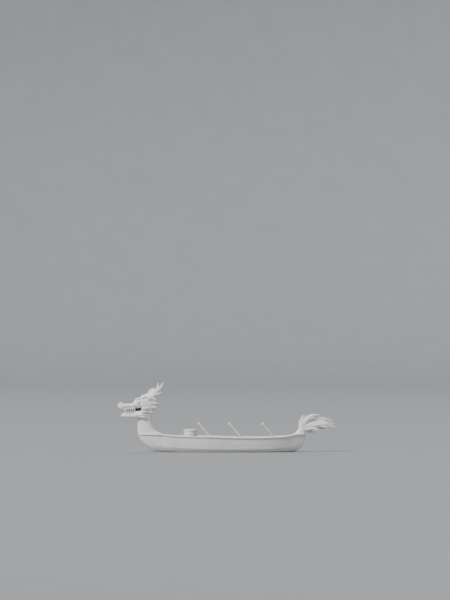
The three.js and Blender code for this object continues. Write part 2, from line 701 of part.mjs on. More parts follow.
const neck = upright(NECK, { egg: OVAL.egg });
const neckSpace = solidOf(upright(NECK, { egg: OVAL.egg, grow: GAP }));
const headSpace = solidOf(lying(HEAD, { grow: GAP }));
const head = solidOf(lying(HEAD)).subtract(neckSpace);
const jaw = solidOf(lying(JAW)).subtract(neckSpace);

// A row of teeth on the strip that carries them, round one jaw; direction is -1 for teeth that point down
function teeth(table, edge, direction, lengths) {
  const strips = [];
  TEETH.places.forEach((x, row) => {
    const base = read(table, 'x', x, edge);
    const out = read(table, 'x', x, 'half') - TEETH.inset;
    const long = lengths[row] + TEETH.gum;
    const tooth = new THREE.ConeGeometry(TEETH.root, long, 5).rotateX((direction * Math.PI) / 2);
    const port = tooth.translate(x, out, base + (direction * long) / 2);
    strips.push(port, mirrored(port));
  });
  return strips;
}

function gum(table, edge, direction) {
  const places = TEETH.places.map((x) => ({
    x,
    low: read(table, 'x', x, edge) - direction * TEETH.sink,
    high: read(table, 'x', x, edge) + direction * TEETH.gum,
    y: read(table, 'x', x, 'half') - TEETH.inset,
  }));
  const side = loft(places.map(({ x, y, low, high }) => [
    [x, y - TEETH.gum, low], [x, y + TEETH.gum, low], [x, y + TEETH.gum, high], [x, y - TEETH.gum, high],
  ]));
  const { x, y, low, high } = places[0];
  const bar = new THREE.BoxGeometry(2 * TEETH.gum, 2 * y, TEETH.sink + TEETH.gum);
  return [side, mirrored(side), bar.translate(x, 0, (low + high) / 2)];
}

const jawSpace = solidOf(lying(JAW, { grow: GAP }));
const upperTeeth = join([...teeth(HEAD, 'bottom', -1, TEETH.upperLength), ...gum(HEAD, 'bottom', -1)]);
const lowerTeeth = join([...teeth(JAW, 'top', 1, TEETH.lowerLength), ...gum(JAW, 'top', 1)]);

const tongueTable = sample(0, 1, 5).map((share) => ({
  x: THREE.MathUtils.lerp(TONGUE.aft, TONGUE.fore, share),
  bottom: TONGUE.bottom + share * TONGUE.rise,
  top: TONGUE.top - share * TONGUE.fall,
  half: TONGUE.half * (share === 1 ? TONGUE.tip : 1),
}));
const tongue = lying(tongueTable, { count: 12 });
const tongueSpace = solidOf(lying(tongueTable, { count: 12, grow: GAP }));
const lining = new THREE.BoxGeometry(LINING.fore - LINING.aft, 2 * LINING.half, LINING.top - LINING.bottom);
lining.translate((LINING.aft + LINING.fore) / 2, 0, (LINING.bottom + LINING.top) / 2);
const mouthPieces = [headSpace, jawSpace, neckSpace, tongueSpace];
const seatedLining = mouthPieces.reduce((solid, piece) => solid.subtract(piece), solidOf(lining));

// A piece and its mirror image, each cut back to sit on the head
function placeSeatedPair(name, geometry) {
  place(`${name}_port`, shapeOf(solidOf(geometry).subtract(headSpace)), 'white');
  place(`${name}_starboard`, shapeOf(solidOf(mirrored(geometry)).subtract(headSpace)), 'white');
}

place('neck', neck, 'white');
place('head', shapeOf(head), 'white');
place('lower_jaw', shapeOf(jaw), 'white');
place('upper_teeth', shapeOf(upperTeeth.subtract(headSpace)), 'white');
place('lower_teeth', shapeOf(lowerTeeth.subtract(jawSpace)), 'white');
place('tongue', tongue, 'white');
place('mouth_lining', shapeOf(seatedLining), 'dark');

const eye = new THREE.SphereGeometry(EYE.radius, 12, 8).translate(EYE.x, EYE.y, EYE.z);
placeSeatedPair('eye', eye);

placeSeatedPair('horn', shapeOf(join(HORN.map((form) => lock(form)))));
placeSeatedPair('ear', lock(EAR));

const topSpace = join(bothSides([...HORN, EAR, ...BROW], { grow: GAP }));

// A strip as thick as it is named, laid on the head within a box
function strip({ thick, back, low, high }) {
  const cover = lying(HEAD, { grow: thick });
  const box = new THREE.BoxGeometry(high[0] - low[0], high[1] - low[1], high[2] - low[2]);
  box.translate(...low.map((value, axis) => (value + high[axis]) / 2));
  return join([cover, cover.clone().translate(-back, 0, 0)]).intersect(solidOf(box));
}

const mane = join([...MANE_MIDDLE.map((form) => lock(form)), ...bothSides(MANE_SIDE)]).add(strip(MANE_ROOT));
place('mane', shapeOf(mane.subtract(headSpace).subtract(neckSpace).subtract(topSpace)), 'white');
const crest = join(CREST.map((form) => lock(form))).add(strip(CREST_ROOT));
place('crest', shapeOf(crest.subtract(headSpace).subtract(topSpace)), 'white');
placeSeatedPair('brow', shapeOf(join(BROW.map((form) => lock(form)))));

// Tail

place('tail_stalk', upright(STALK), 'white');
const fine = { steps: 6 };
const plume = join([...PLUME_MIDDLE.map((form) => lock(form, fine)), ...bothSides(PLUME_SIDE, fine)]);
place('tail_plume', shapeOf(plume.subtract(solidOf(upright(STALK, { grow: GAP })))), 'white');

// Drum and sticks

const drumFoot = benchTop + GAP;
const drumTop = DRUM.top - DRUM.skin;

function turned(profile, sides = 24) {
  const points = [...profile, profile[0]].map(([radius, z]) => new THREE.Vector2(radius, z));
  return new THREE.LatheGeometry(points, sides).rotateX(Math.PI / 2).translate(DRUM.place, 0, 0);
}

function closed(geometry) {
  return shapeOf(solidOf(geometry));
}

function drumRadius(z) {
  return read(DRUM.shape, 'share', (z - drumFoot) / (drumTop - drumFoot), 'radius');
}

const shellProfile = sample(drumFoot, drumTop - GAP, 3).map((z) => [drumRadius(z), z]);
const shell = [...shellProfile, ...[...shellProfile].reverse().map(([radius, z]) => [radius - DRUM.wall, z])];
const skinOut = drumRadius(drumTop) + GAP;
const skirtFoot = drumTop - DRUM.skirt;
place('drum_shell', closed(turned(shell)), 'white');
place('drum_skin', closed(turned([
  [0, drumTop], [skinOut, drumTop], [skinOut, skirtFoot], [skinOut + DRUM.skin, skirtFoot],
  [skinOut + DRUM.skin, DRUM.top], [0, DRUM.top],
])), 'hide');
const hoop = (z, radius) => turned([0, 1, 2, 3].map((step) => {
  const angle = (step * Math.PI) / 2;
  return [radius + DRUM.hoop * (1 + Math.cos(angle)), z + DRUM.hoop * Math.sin(angle)];
}));
place('drum_hoop', closed(hoop(skirtFoot + DRUM.hoopUp, skinOut + DRUM.skin + GAP)), 'white');

function stick() {
  const shaft = new THREE.CylinderGeometry(STICKS.radius, STICKS.radius, STICKS.length, 8);
  const knob = new THREE.SphereGeometry(STICKS.knob, 8, 6).translate(0, STICKS.length / 2, 0);
  return shapeOf(join([shaft, knob])).rotateZ(Math.PI / 2);
}

const sticks = new THREE.Group();
[1, -1].forEach((side) => {
  const mesh = place(side > 0 ? 'drumstick_port' : 'drumstick_starboard', stick(), 'timber', sticks);
  mesh.position.set((FORE_DECK.aft + BOW_JOINT) / 2, side * STICKS.apart, FORE_DECK.top + STICKS.knob + GAP);
});
root.add(sticks);

// Paddles

function blade() {
  const { length, width, thick, corner, shoulder, bend, root: top } = PADDLE.blade;
  const half = width / 2;
  const shape = new THREE.Shape();
  shape.moveTo(-half, corner);
  shape.absarc(-half + corner, corner, corner, Math.PI, 1.5 * Math.PI);
  shape.absarc(half - corner, corner, corner, 1.5 * Math.PI, 2 * Math.PI);
  shape.lineTo(half, shoulder);
  shape.quadraticCurveTo(PADDLE.shaft, bend, top, length);
  shape.lineTo(-top, length);
  shape.quadraticCurveTo(-PADDLE.shaft, bend, -half, shoulder);
  return new THREE.ExtrudeGeometry(shape, { depth: thick, bevelEnabled: false, curveSegments: 3 })
    .translate(0, 0, -thick / 2);
}

// A paddle that stands on its blade: its blade's face looks along Z and its grip crosses the top along X
function paddle() {
  const { length, shaft, grip, foot, spine: point } = PADDLE;
  const stem = new THREE.CylinderGeometry(shaft, shaft, length - grip.radius - foot, 8)
    .translate(0, (length - grip.radius + foot) / 2, 0);
  const spine = new THREE.ConeGeometry(PADDLE.blade.root, point, 6)
    .rotateX(Math.PI)
    .translate(0, foot + CLEAR / 2 - point / 2, 0);
  const handle = new THREE.CylinderGeometry(grip.radius, grip.radius, grip.length, 8)
    .rotateZ(Math.PI / 2)
    .translate(0, length - grip.radius, 0);
  return shapeOf(join([blade(), stem, spine, handle]));
}

function lowest(geometry) {
  const points = geometry.attributes.position;
  const corners = sample(0, points.count - 1, points.count - 1)
    .map((at) => new THREE.Vector3().fromBufferAttribute(points, Math.round(at)));
  return corners.reduce((low, point) => (point.z < low.z ? point : low));
}

// Each paddle stands on its blade in the bottom of the boat and leans forward on a bench's edge
function placePaddle(name, { grip, tip }, side) {
  const low = PADDLE.top - PADDLE.length * Math.sin(PADDLE.slope);
  const along = new THREE.Vector3(
    Math.cos(PADDLE.slope),
    (side * (PADDLE.out - tip)) / PADDLE.length,
    Math.sin(PADDLE.slope),
  ).normalize();
  const face = new THREE.Vector3(0, 1, 0).addScaledVector(along, -along.y).normalize();
  const across = along.clone().cross(face);
  const geometry = paddle().applyMatrix4(new THREE.Matrix4().makeBasis(across, along, face));
  geometry.translate(grip - PADDLE.length * Math.cos(PADDLE.slope), side * tip, low);
  const foot = lowest(geometry);
  const bottom = heightAt(inset(foot.x, PLANK), Math.abs(foot.y)) + PADDLE.clear;
  geometry.translate(0, 0, Math.max(FLOOR_TOP + GAP, bottom) - foot.z);
  place(name, geometry, 'white');
}

PADDLE_PAIRS.forEach((pair, row) => {
  placePaddle(`paddle_${row + 1}_port`, pair, 1);
  placePaddle(`paddle_${row + 1}_starboard`, pair, -1);
});

export default root;
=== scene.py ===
"""A small wooden dragon boat: its looks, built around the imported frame.

Metres, with +X towards the bow, +Y to port and +Z up, from the waterline amidships.
"""
import functools
import logging
import math
from dataclasses import dataclass, field, replace
from enum import Enum
from typing import Callable, Iterable, Sequence

import bpy
import numpy as np
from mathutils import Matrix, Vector


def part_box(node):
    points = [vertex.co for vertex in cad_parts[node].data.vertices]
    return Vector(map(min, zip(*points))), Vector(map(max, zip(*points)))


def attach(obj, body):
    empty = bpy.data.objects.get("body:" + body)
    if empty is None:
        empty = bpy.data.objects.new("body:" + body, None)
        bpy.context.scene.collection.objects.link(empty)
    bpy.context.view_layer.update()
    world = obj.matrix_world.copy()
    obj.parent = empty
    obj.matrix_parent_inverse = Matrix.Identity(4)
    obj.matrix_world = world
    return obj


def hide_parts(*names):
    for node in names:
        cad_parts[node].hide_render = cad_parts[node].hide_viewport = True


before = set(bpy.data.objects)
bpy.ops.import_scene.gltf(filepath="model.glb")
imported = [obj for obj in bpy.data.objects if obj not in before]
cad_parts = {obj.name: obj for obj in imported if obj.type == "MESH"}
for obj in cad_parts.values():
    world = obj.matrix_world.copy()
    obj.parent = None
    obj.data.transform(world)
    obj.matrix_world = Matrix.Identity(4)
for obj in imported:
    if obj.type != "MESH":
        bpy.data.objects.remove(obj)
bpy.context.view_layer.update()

LOG = logging.getLogger("dragon boat")
MM = 0.001
Array = np.ndarray
Point = tuple[float, float, float]
Entries = tuple[tuple[float, ...], ...]
LAID_ALONG = np.array([[0.0, 1.0, 0.0], [0.0, 0.0, 1.0], [1.0, 0.0, 0.0]])  # turns Z to lie along X
BOARD_EDGE = 0.004  # radius of a board's edges
BOARD_GAP = 0.004  # between two boards
TONE_STEP = 0.37  # from one board's tone to the next one's
SOFT = 60.0  # crease in degrees of a carving that has no sharp edges of its own


class Side(Enum):
    """The two sides of the boat and which way each lies along Y."""

    PORT = 1
    STARBOARD = -1

    @property
    def word(self) -> str:
        """The side's name in lower case."""
        return self.name.lower()


class Grain(Enum):
    """Which way the grain of a board runs."""

    FORE_AFT = 0
    ATHWART = 1


# Numbers and curves


def rows(*entries: Sequence[float]) -> Array:
    """A table given in millimetres as an array in metres."""
    return np.array(entries, float) * MM


def table_of(*entries: Sequence[float]) -> Array:
    """A dataclass field that holds a table given in millimetres."""
    return field(default_factory=lambda: rows(*entries))


def smooth_read(places: Array, values: Array, at: Array) -> Array:
    """Values between a table's rows, on cubic pieces whose slope at each row is the harmonic mean of the
    slopes on its two sides, or level where those differ in sign, so that the line never overshoots.

    Args:
        places: the rows' places, rising or falling.
        values: the rows' values.
        at: where to read.

    Returns:
        The value at each place, held at the table's ends.
    """
    order = np.argsort(places)
    x, y = places[order], values[order]
    rise = np.diff(y) / np.diff(x)
    before, after = np.concatenate([rise[:1], rise]), np.concatenate([rise, rise[-1:]])
    same = before * after > 0
    slope = np.where(same, 2 * before * after / np.where(same, before + after, 1), 0)
    held = np.clip(at, x[0], x[-1])
    row = np.clip(np.searchsorted(x, held, side="right") - 1, 0, len(x) - 2)
    span = x[row + 1] - x[row]
    t = (held - x[row]) / span
    ends = y[row] * (1 - t) ** 2 * (1 + 2 * t) + y[row + 1] * t * t * (3 - 2 * t)
    return ends + t * (1 - t) * span * (slope[row] * (1 - t) - slope[row + 1] * t)


def read_table(table: Array, at: Array, *columns: int) -> list[Array]:
    """Columns of a table at places along its first column, each as smooth_read gives it."""
    return [smooth_read(table[:, 0], table[:, column], at) for column in columns]


def grid(x: Array, y: Array, z: Array) -> Array:
    """Points from their three coordinates, each of which may be the same along a row or a column."""
    return np.stack(np.broadcast_arrays(x, y, z), -1)


def turns(count: int) -> Array:
    """Angles evenly spaced round a circle."""
    return np.linspace(0, 2 * np.pi, count, endpoint=False)


def quarter(count: int) -> Array:
    """Angles evenly spaced over a quarter circle, with both its ends."""
    return np.linspace(0, np.pi / 2, count)


def eased(count: int) -> Array:
    """Shares from 0 to 1 that lie closer together towards both ends."""
    return (1 - np.cos(np.linspace(0, np.pi, count))) / 2


def between(start: Array, end: Array, share: Array) -> Array:
    """Values a share of the way from one to another."""
    return start + (end - start) * share


def bulge(left: Array, radius: float) -> Array:
    """How full a rounded end is at a distance from its tip: a quarter circle that reaches 1 at the radius."""
    return np.sqrt(1 - (1 - np.clip(left / radius, 0, 1)) ** 2)


def unit(vectors: Array) -> Array:
    """Vectors brought to length 1. One of no length stays as it is."""
    return vectors / np.maximum(np.linalg.norm(vectors, axis=-1, keepdims=True), 1e-12)


def port_frame(along: Array) -> tuple[Array, Array]:
    """Directions of length 1, with those square to them that lie nearest to port."""
    along = unit(along)
    return along, unit(np.array([0.0, 1.0, 0.0]) - along * along[..., 1:2])


def ramp(values: Array, start: float, length: float) -> Array:
    """0 up to a start and 1 from a length beyond it, straight between."""
    return np.clip((values - start) / length, 0, 1)


def oval(count: int, power: float = 2.0) -> Array:
    """Sideways and upwards shares round an oval, an ellipse for a power of 2 and squarer for more."""
    turn = np.stack([np.cos(turns(count)), np.sin(turns(count))], 1)
    return np.sign(turn) * np.abs(turn) ** (2 / power)


def rounded(wide: float, high: float, radius: float) -> Array:
    """The outline of a rectangle about zero, whose corners are quarter circles of three faces each.

    Args:
        wide: its breadth.
        high: its height.
        radius: of the corners.

    Returns:
        Its sixteen points.
    """
    arc = radius * np.stack([np.cos(quarter(4)), np.sin(quarter(4))], 1)
    corner = np.array([wide / 2 - radius, high / 2 - radius])
    first, second = arc + corner, (arc[::-1] + corner) * [-1, 1]
    return np.concatenate([first, second, -first, -second])


def bell(distance: Array, width: float) -> Array:
    """1 at no distance, falling off as a bell whose half width is given."""
    return np.exp(-((distance / width) ** 2))


def scales(across: Array, up: Array, reach: float = 0.62) -> Array:
    """Heights of round scales that lie over each other like tiles, with their tips down.

    Every row is moved half a scale against the next. A point lies on the highest row whose round scale covers
    it, and a scale rises in a straight line from its hidden upper edge to its tip.

    Args:
        across: the place along a row, counted in scales.
        up: the place across the rows, counted in rows.
        reach: a scale's radius.

    Returns:
        Heights from 0 to 1.
    """
    height = np.zeros_like(up)
    for step in (-1, 0, 1):
        row = np.floor(up) + step
        aside = across - 0.5 * (row % 2)
        aside = aside - np.round(aside)
        rise = up - row
        height = np.where(np.hypot(aside, 0.9 * rise) < reach, 0.5 - 0.5 * rise / reach, height)
    return height


def scoops(points: Array, size: Sequence[float]) -> Array:
    """Marks of a gouge: depths of round scoops that meet in ridges, one for each cell of a cut-up space.

    Space is divided into boxes, and each box has a middle that is moved from its corner by the fraction of a
    large multiple of a sine of the box's place. A depth is one less twice the squared distance to the nearest
    middle, counted in boxes.

    Args:
        points: the places.
        size: a box's length, breadth and height.

    Returns:
        Depths from 0 on a ridge to 1 in the middle of a scoop.
    """
    place = points / np.array(size)
    large = 43758.5453
    mix = np.array([[127.1, 269.5, 113.5], [311.7, 183.3, 271.9], [74.7, 246.1, 124.6]])
    nearest = np.full(points.shape[:-1], 0.5)
    for step in np.ndindex(3, 3, 3):
        corner = np.floor(place) + np.array(step) - 1
        middle = corner + np.sin(corner @ mix) * large % 1
        nearest = np.minimum(nearest, np.sum((place - middle) ** 2, -1))
    return 1 - 2 * nearest


# Meshes


def mirror(points: Array) -> Array:
    """The same points on the other side of the boat."""
    return points * [1, -1, 1]


@dataclass
class Form:
    """A closed surface: its points, its faces, and a number for each point that sets a board's own tone."""

    points: Array
    quads: Array
    tris: Array
    tone: float | Array = 0.0

    def tones(self) -> Array:
        """The tone at every point."""
        return np.broadcast_to(np.asarray(self.tone, float), (len(self.points),))

    def mirrored(self) -> "Form":
        """The same form on the other side of the boat."""
        return Form(mirror(self.points), self.quads[:, ::-1], self.tris[:, ::-1], self.tone)

    def moved(self, by: Sequence[float]) -> "Form":
        """The same form, moved."""
        return replace(self, points=self.points + np.asarray(by, float))

    def turned(self, basis: Array) -> "Form":
        """The same form with its own axes laid along the rows of a basis."""
        return replace(self, points=self.points @ basis)


def joined(forms: Iterable[Form]) -> Form:
    """Several forms as one.

    Args:
        forms: the forms.

    Returns:
        One form that holds them all.
    """
    parts = list(forms)
    starts = np.cumsum([0] + [len(part.points) for part in parts[:-1]])
    return Form(
        np.concatenate([part.points for part in parts]),
        np.concatenate([part.quads + start for part, start in zip(parts, starts)]),
        np.concatenate([part.tris + start for part, start in zip(parts, starts)]),
        np.concatenate([part.tones() for part in parts]),
    )


def both(form: Form) -> Form:
    """A form together with its mirror image."""
    return joined([form, form.mirrored()])


def facing_out(form: Form) -> Form:
    """Turns faces outwards: the volume, summed over the triangles, then comes out positive.

    Args:
        form: a closed form.

    Returns:
        The form, or the same with all its faces turned round.
    """
    tris = np.concatenate([form.quads[:, [0, 1, 2]], form.quads[:, [0, 2, 3]], form.tris])
    a, b, c = (form.points[tris[:, corner]] for corner in range(3))
    if np.einsum("ij,ij->", a, np.cross(b, c)) < 0:
        return replace(form, quads=form.quads[:, ::-1], tris=form.tris[:, ::-1])
    return form


def ring_quads(bands: int, count: int, around: int) -> Array:
    """The faces between rings that lie one after the other, the last of which may join the first.

    Args:
        bands: bands of faces.
        count: rings.
        around: points in a ring.

    Returns:
        Four point numbers for each face.
    """
    here, beside = np.arange(around), np.roll(np.arange(around), -1)
    low = np.arange(bands)[:, None] * around
    high = (low + around) % (count * around)
    return np.stack([low + here, low + beside, high + beside, high + here], -1).reshape(-1, 4)


def tube(rings: Array, loop: bool = False, tone: float = 0.0) -> Form:
    """A closed skin over rings of points: each ring joins the next, and each end closes on its middle.

    Args:
        rings: an array of rings by points by 3.
        loop: whether the last ring joins the first, as in a hoop.
        tone: the form's own tone.

    Returns:
        The form, facing outwards.
    """
    count, around = rings.shape[:2]
    here, beside = np.arange(around), np.roll(np.arange(around), -1)
    quads = ring_quads(count if loop else count - 1, count, around)
    points, tris = rings.reshape(-1, 3), np.zeros((0, 3), int)
    if not loop:
        total, last = count * around, (count - 1) * around
        points = np.concatenate([points, rings[[0, -1]].mean(1)])
        tris = np.concatenate([
            np.stack([beside, here, np.full(around, total)], 1),
            np.stack([here + last, beside + last, np.full(around, total + 1)], 1),
        ])
    return facing_out(Form(points, quads, tris, tone))


def swelled(rings: Array, height: Array) -> Array:
    """Rings whose points are moved out of their surface along its normal, which is the cross product of the
    differences around and along the rings.

    Args:
        rings: an array of rings by points by 3.
        height: how far each point moves.

    Returns:
        The moved rings.
    """
    around = np.roll(rings, -1, 1) - np.roll(rings, 1, 1)
    normal = unit(np.cross(around, np.gradient(rings, axis=0)))
    side = np.sign(np.einsum("ijk,ijk->", normal, rings - rings.mean(1, keepdims=True)))
    return rings + side * normal * height[..., None]


def ring_share(rings: Array) -> Array:
    """How far each point lies round its ring, by length, from 0 to 1."""
    step = np.linalg.norm(np.roll(rings, -1, 1) - rings, axis=2)
    return (np.cumsum(step, 1) - step) / step.sum(1, keepdims=True)


def carried(line: Array, section: Array, loop: bool = False) -> Form:
    """A section carried along a line: its first axis lies level and square to the line, its second upright.

    Args:
        line: n points.
        section: m points by 2, or n by m by 2 where it changes along the line.
        loop: whether the line closes on itself.

    Returns:
        The form.
    """
    along = np.roll(line, -1, 0) - np.roll(line, 1, 0) if loop else np.gradient(line, axis=0)
    out = unit(np.cross(along, [0.0, 0.0, 1.0]))
    section = np.broadcast_to(section, (len(line),) + section.shape[-2:])
    rings = line[:, None] + out[:, None] * section[..., :1]
    rings[..., 2] += section[..., 1]
    return tube(rings, loop)


def turned_rings(profile: Array, sides: int) -> Array:
    """Circles about the Z axis, one for each of a profile's radii and heights."""
    turn = oval(sides)
    return grid(profile[:, :1] * turn[:, 0], profile[:, :1] * turn[:, 1], profile[:, 1:])


def lathe(profile: Array, sides: int) -> Form:
    """A turned form: each profile point of radius and height, carried round the Z axis."""
    return tube(turned_rings(profile, sides))


def board(low: Array, high: Array, grain: Grain, reach: Callable[[Array], Array] | None, tone: float) -> Form:
    """A board with rounded edges and ends: its rounded section is carried along its length, and drawn in at
    both ends as a quarter circle draws in.

    Args:
        low: its lowest corner.
        high: its highest corner.
        grain: the way that it runs.
        reach: for a board athwart, half its length at a place along the boat.
        tone: its own tone.

    Returns:
        The form.
    """
    axis = grain.value
    others = [other for other in range(3) if other != axis]
    inwards = BOARD_EDGE * (1 - np.sin(quarter(4)))[::-1]
    drawn = BOARD_EDGE * (1 - np.cos(quarter(4)))
    sections = np.stack([
        rounded(*((high - low)[others] - 2 * less), max(BOARD_EDGE - less, BOARD_EDGE / 5))
        for less in (*drawn[::-1], *drawn)
    ])
    rings = np.zeros(sections.shape[:2] + (3,))
    rings[..., axis] = np.concatenate([low[axis] + inwards, high[axis] - inwards[::-1]])[:, None]
    rings[..., others] = sections + ((low + high) / 2)[others]
    if reach is not None:
        rings[..., 1] *= reach(rings[..., 0]) / high[1]
    return tube(rings, tone=tone)


def boards(node: str, grain: Grain, count: int, reach: Callable[[Array], Array] | None = None) -> Form:
    """Boards laid side by side in a node's box, with equal gaps and tones that differ.

    Args:
        node: the node.
        grain: the way that the boards run, fore and aft or athwart.
        count: how many boards.
        reach: as in board.

    Returns:
        The boards as one form.
    """
    low, high = (np.asarray(corner, float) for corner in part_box(node))
    split = 1 - grain.value
    wide = (high[split] - low[split] + BOARD_GAP) / count
    made = []
    for row in range(count):
        one_low, one_high = low.copy(), high.copy()
        one_low[split] = low[split] + row * wide
        one_high[split] = one_low[split] + wide - BOARD_GAP
        made.append(board(one_low, one_high, grain, reach, TONE_STEP * (row + 1) + low[0]))
    return joined(made)


def studs(places: Array, normals: Array, radius: float, height: float, sides: int = 8) -> Form:
    """Low domes such as nail heads, all made at once: each is three rings and a top, stood on its place along
    its normal, and reaches as far below it.

    Args:
        places: their centres, n by 3.
        normals: the way that each faces, n by 3.
        radius: of each.
        height: of each.
        sides: faces around each.

    Returns:
        The studs as one form.
    """
    one = lathe(np.array([(radius, -height), (radius, 0.35 * height), (0.6 * radius, 0.85 * height)]), sides)
    one.points[-1, 2] = height
    up = unit(normals)
    across = unit(np.cross(np.where(np.abs(up[:, 2:]) < 0.9, [[0.0, 0.0, 1.0]], [[1.0, 0.0, 0.0]]), up))
    axes = np.stack([across, np.cross(up, across), up], 1)
    start = len(one.points) * np.arange(len(places))[:, None, None]
    points = (places[:, None] + one.points @ axes).reshape(-1, 3)
    return Form(points, (one.quads + start).reshape(-1, 4), (one.tris + start).reshape(-1, 3))


# Finishes

Socket = bpy.types.NodeSocket
Material = bpy.types.Material
Colour = tuple[float, float, float, float]


class Shader:
    """A material's nodes, added one at a time."""

    def __init__(self, name: str) -> None:
        """Starts a material with a plain surface shader and the object's own coordinates.

        Args:
            name: the material's name.
        """
        self.material = bpy.data.materials.new(name)
        self.material.use_nodes = True
        self.tree = self.material.node_tree
        self.tree.nodes.clear()
        self.surface = self.tree.nodes.new("ShaderNodeBsdfPrincipled")
        output = self.tree.nodes.new("ShaderNodeOutputMaterial")
        self.tree.links.new(self.surface.outputs["BSDF"], output.inputs["Surface"])
        self.place = self.tree.nodes.new("ShaderNodeTexCoord").outputs["Object"]

    def put(self, socket: Socket, value: object) -> None:
        """Sets an input, or links it where the value is an output.

        Args:
            socket: the input.
            value: a value or an output.
        """
        if isinstance(value, Socket):
            self.tree.links.new(value, socket)
        else:
            socket.default_value = value

    def add(self, kind: str, inputs: dict, output: str | int = 0, **settings: object) -> Socket:
        """Adds a node.

        Args:
            kind: the node's type, without its prefix.
            inputs: values or outputs by input name or number.
            output: the output that is wanted.
            settings: the node's own settings.

        Returns:
            That output.
        """
        node = self.tree.nodes.new("ShaderNode" + kind)
        for name, value in settings.items():
            setattr(node, name, value)
        for name, value in inputs.items():
            self.put(node.inputs[name], value)
        return node.outputs[output]

    def stretched(self, scale: Point, shift: object = None) -> Socket:
        """The coordinates, scaled along each axis and moved by a vector."""
        place = self.add("VectorMath", {0: self.place, 1: shift}, operation="ADD") if shift else self.place
        return self.add("Mapping", {"Vector": place, "Scale": scale})

    def noise(self, vector: Socket, scale: float, detail: float = 4, rough: float = 0.5,
              distortion: float = 0) -> Socket:
        """A noise pattern from about 0.3 to 0.7."""
        return self.add("TexNoise", {"Vector": vector, "Scale": scale, "Detail": detail, "Roughness": rough,
                                     "Distortion": distortion})

    def fit(self, value: Socket, low: float, high: float, to_low: float = 0, to_high: float = 1) -> Socket:
        """A value carried from one range to another and held there."""
        return self.add("MapRange", {"Value": value, "From Min": low, "From Max": high, "To Min": to_low,
                                     "To Max": to_high})

    def sum(self, first: object, second: object, operation: str = "ADD") -> Socket:
        """Two values joined by a sum, or by another operation."""
        return self.add("Math", {0: first, 1: second}, operation=operation)

    def times(self, first: object, second: object) -> Socket:
        """Two values multiplied."""
        return self.sum(first, second, "MULTIPLY")

    def blend(self, share: object, first: object, second: object) -> Socket:
        """One colour passing into another."""
        return self.add("Mix", {0: share, 6: first, 7: second}, output=2, data_type="RGBA")

    def raise_by(self, height: Socket, distance: float, strength: float = 1.0) -> None:
        """Gives the surface relief, over any that it has.

        Args:
            height: the pattern, from 0 to 1.
            distance: its depth in metres.
            strength: how much of it is applied.
        """
        inputs = {"Height": height, "Distance": distance, "Strength": strength}
        socket = self.surface.inputs["Normal"]
        if socket.links:
            inputs["Normal"] = socket.links[0].from_socket
        self.put(socket, self.add("Bump", inputs))

    def finish(self, colour: object, rough: object, **constants: float) -> Material:
        """Sets the surface's colour, roughness and what is the same all over it.

        Args:
            colour: a colour or an output.
            rough: a roughness or an output.
            constants: by socket name, with spaces as underscores.

        Returns:
            The finished material.
        """
        self.put(self.surface.inputs["Base Color"], colour)
        self.put(self.surface.inputs["Roughness"], rough)
        for name, value in constants.items():
            self.surface.inputs[name.replace("_", " ").title()].default_value = value
        return self.material


@dataclass(frozen=True)
class Finish:
    """A finish: its name, and how it paints a shader."""

    name: str

    def paint(self, shader: Shader) -> Material:
        """Adds the finish's nodes to a shader and returns its material."""
        raise NotImplementedError

    def material(self) -> Material:
        """The finish as a material."""
        return self.paint(Shader(self.name))


@dataclass(frozen=True)
class BrushedPaint(Finish):
    """White enamel brushed on wood: brush marks, the marks of the tools under them, painted shade in the
    hollows, rubbed edges and a few chips."""

    brush: Point = (3.0, 60.0, 60.0)
    gouge: Point = (4.0, 14.0, 14.0)
    gouge_depth: float = 0.002
    fresh: Colour = (0.88, 0.88, 0.86, 1)
    aged: Colour = (0.74, 0.735, 0.70, 1)
    # the colour of the painted shade laid into the hollows
    dirt: Colour = (0.42, 0.39, 0.33, 1)
    primer: Colour = (0.50, 0.46, 0.39, 1)
    stain: Colour = (0.60, 0.59, 0.54, 1)
    tide: bool = False

    def paint(self, shader: Shader) -> Material:
        """Adds the finish's nodes.

        Args:
            shader: the finish's shader.

        Returns:
            Its material.
        """
        marks = shader.noise(shader.stretched(self.brush), 3.0, 6, 0.6)
        patches = shader.noise(shader.place, 2.2, 5, 0.6)
        cells = shader.add("TexVoronoi", {"Vector": shader.stretched(self.gouge), "Scale": 1.0})
        gouges = shader.times(cells, cells)
        bent = shader.add("NewGeometry", {}, output="Pointiness")
        colour = shader.blend(shader.fit(patches, 0.40, 0.72), self.fresh, self.aged)
        colour = shader.blend(shader.fit(marks, 0.30, 0.75, 0, 0.35), colour, self.aged)
        # painted shade: the colour turns to a darker warm grey where the surface is hollow (low pointiness),
        # patchy with noise
        hollow = shader.times(shader.fit(bent, 0.38, 0.495, 0.75, 0), shader.fit(patches, 0.3, 0.7, 0.5, 1))
        colour = shader.blend(hollow, colour, self.dirt)
        spots = shader.noise(shader.place, 34.0, 3, 0.65)
        rubbed = shader.sum(shader.fit(bent, 0.53, 0.62, 0, 0.10), spots)
        chips = shader.fit(rubbed, 0.700, 0.720)
        colour = shader.blend(shader.times(chips, 0.6), colour, self.primer)
        if self.tide:
            height = shader.add("SeparateXYZ", {0: shader.place}, output=2)
            wavy = shader.sum(height, shader.times(patches, 0.06), "SUBTRACT")
            damp = shader.fit(wavy, -0.03, 0.03, 0.55, 0)
            drips = shader.noise(shader.stretched((14.0, 14.0, 1.2)), 2.0, 4, 0.6)
            streaks = shader.fit(drips, 0.5, 0.75, 0, 0.3)
            colour = shader.blend(shader.sum(damp, streaks, "MAXIMUM"), colour, self.stain)
        shader.raise_by(gouges, self.gouge_depth)
        shader.raise_by(marks, 0.002, 0.6)
        shader.raise_by(shader.noise(shader.place, 180.0, 2), 0.0004, 0.4)
        shader.raise_by(chips, -0.0006, 0.6)
        rough = shader.fit(marks, 0.3, 0.7, 0.30, 0.52)
        return shader.finish(colour, rough, coat_weight=0.25, coat_roughness=0.25)


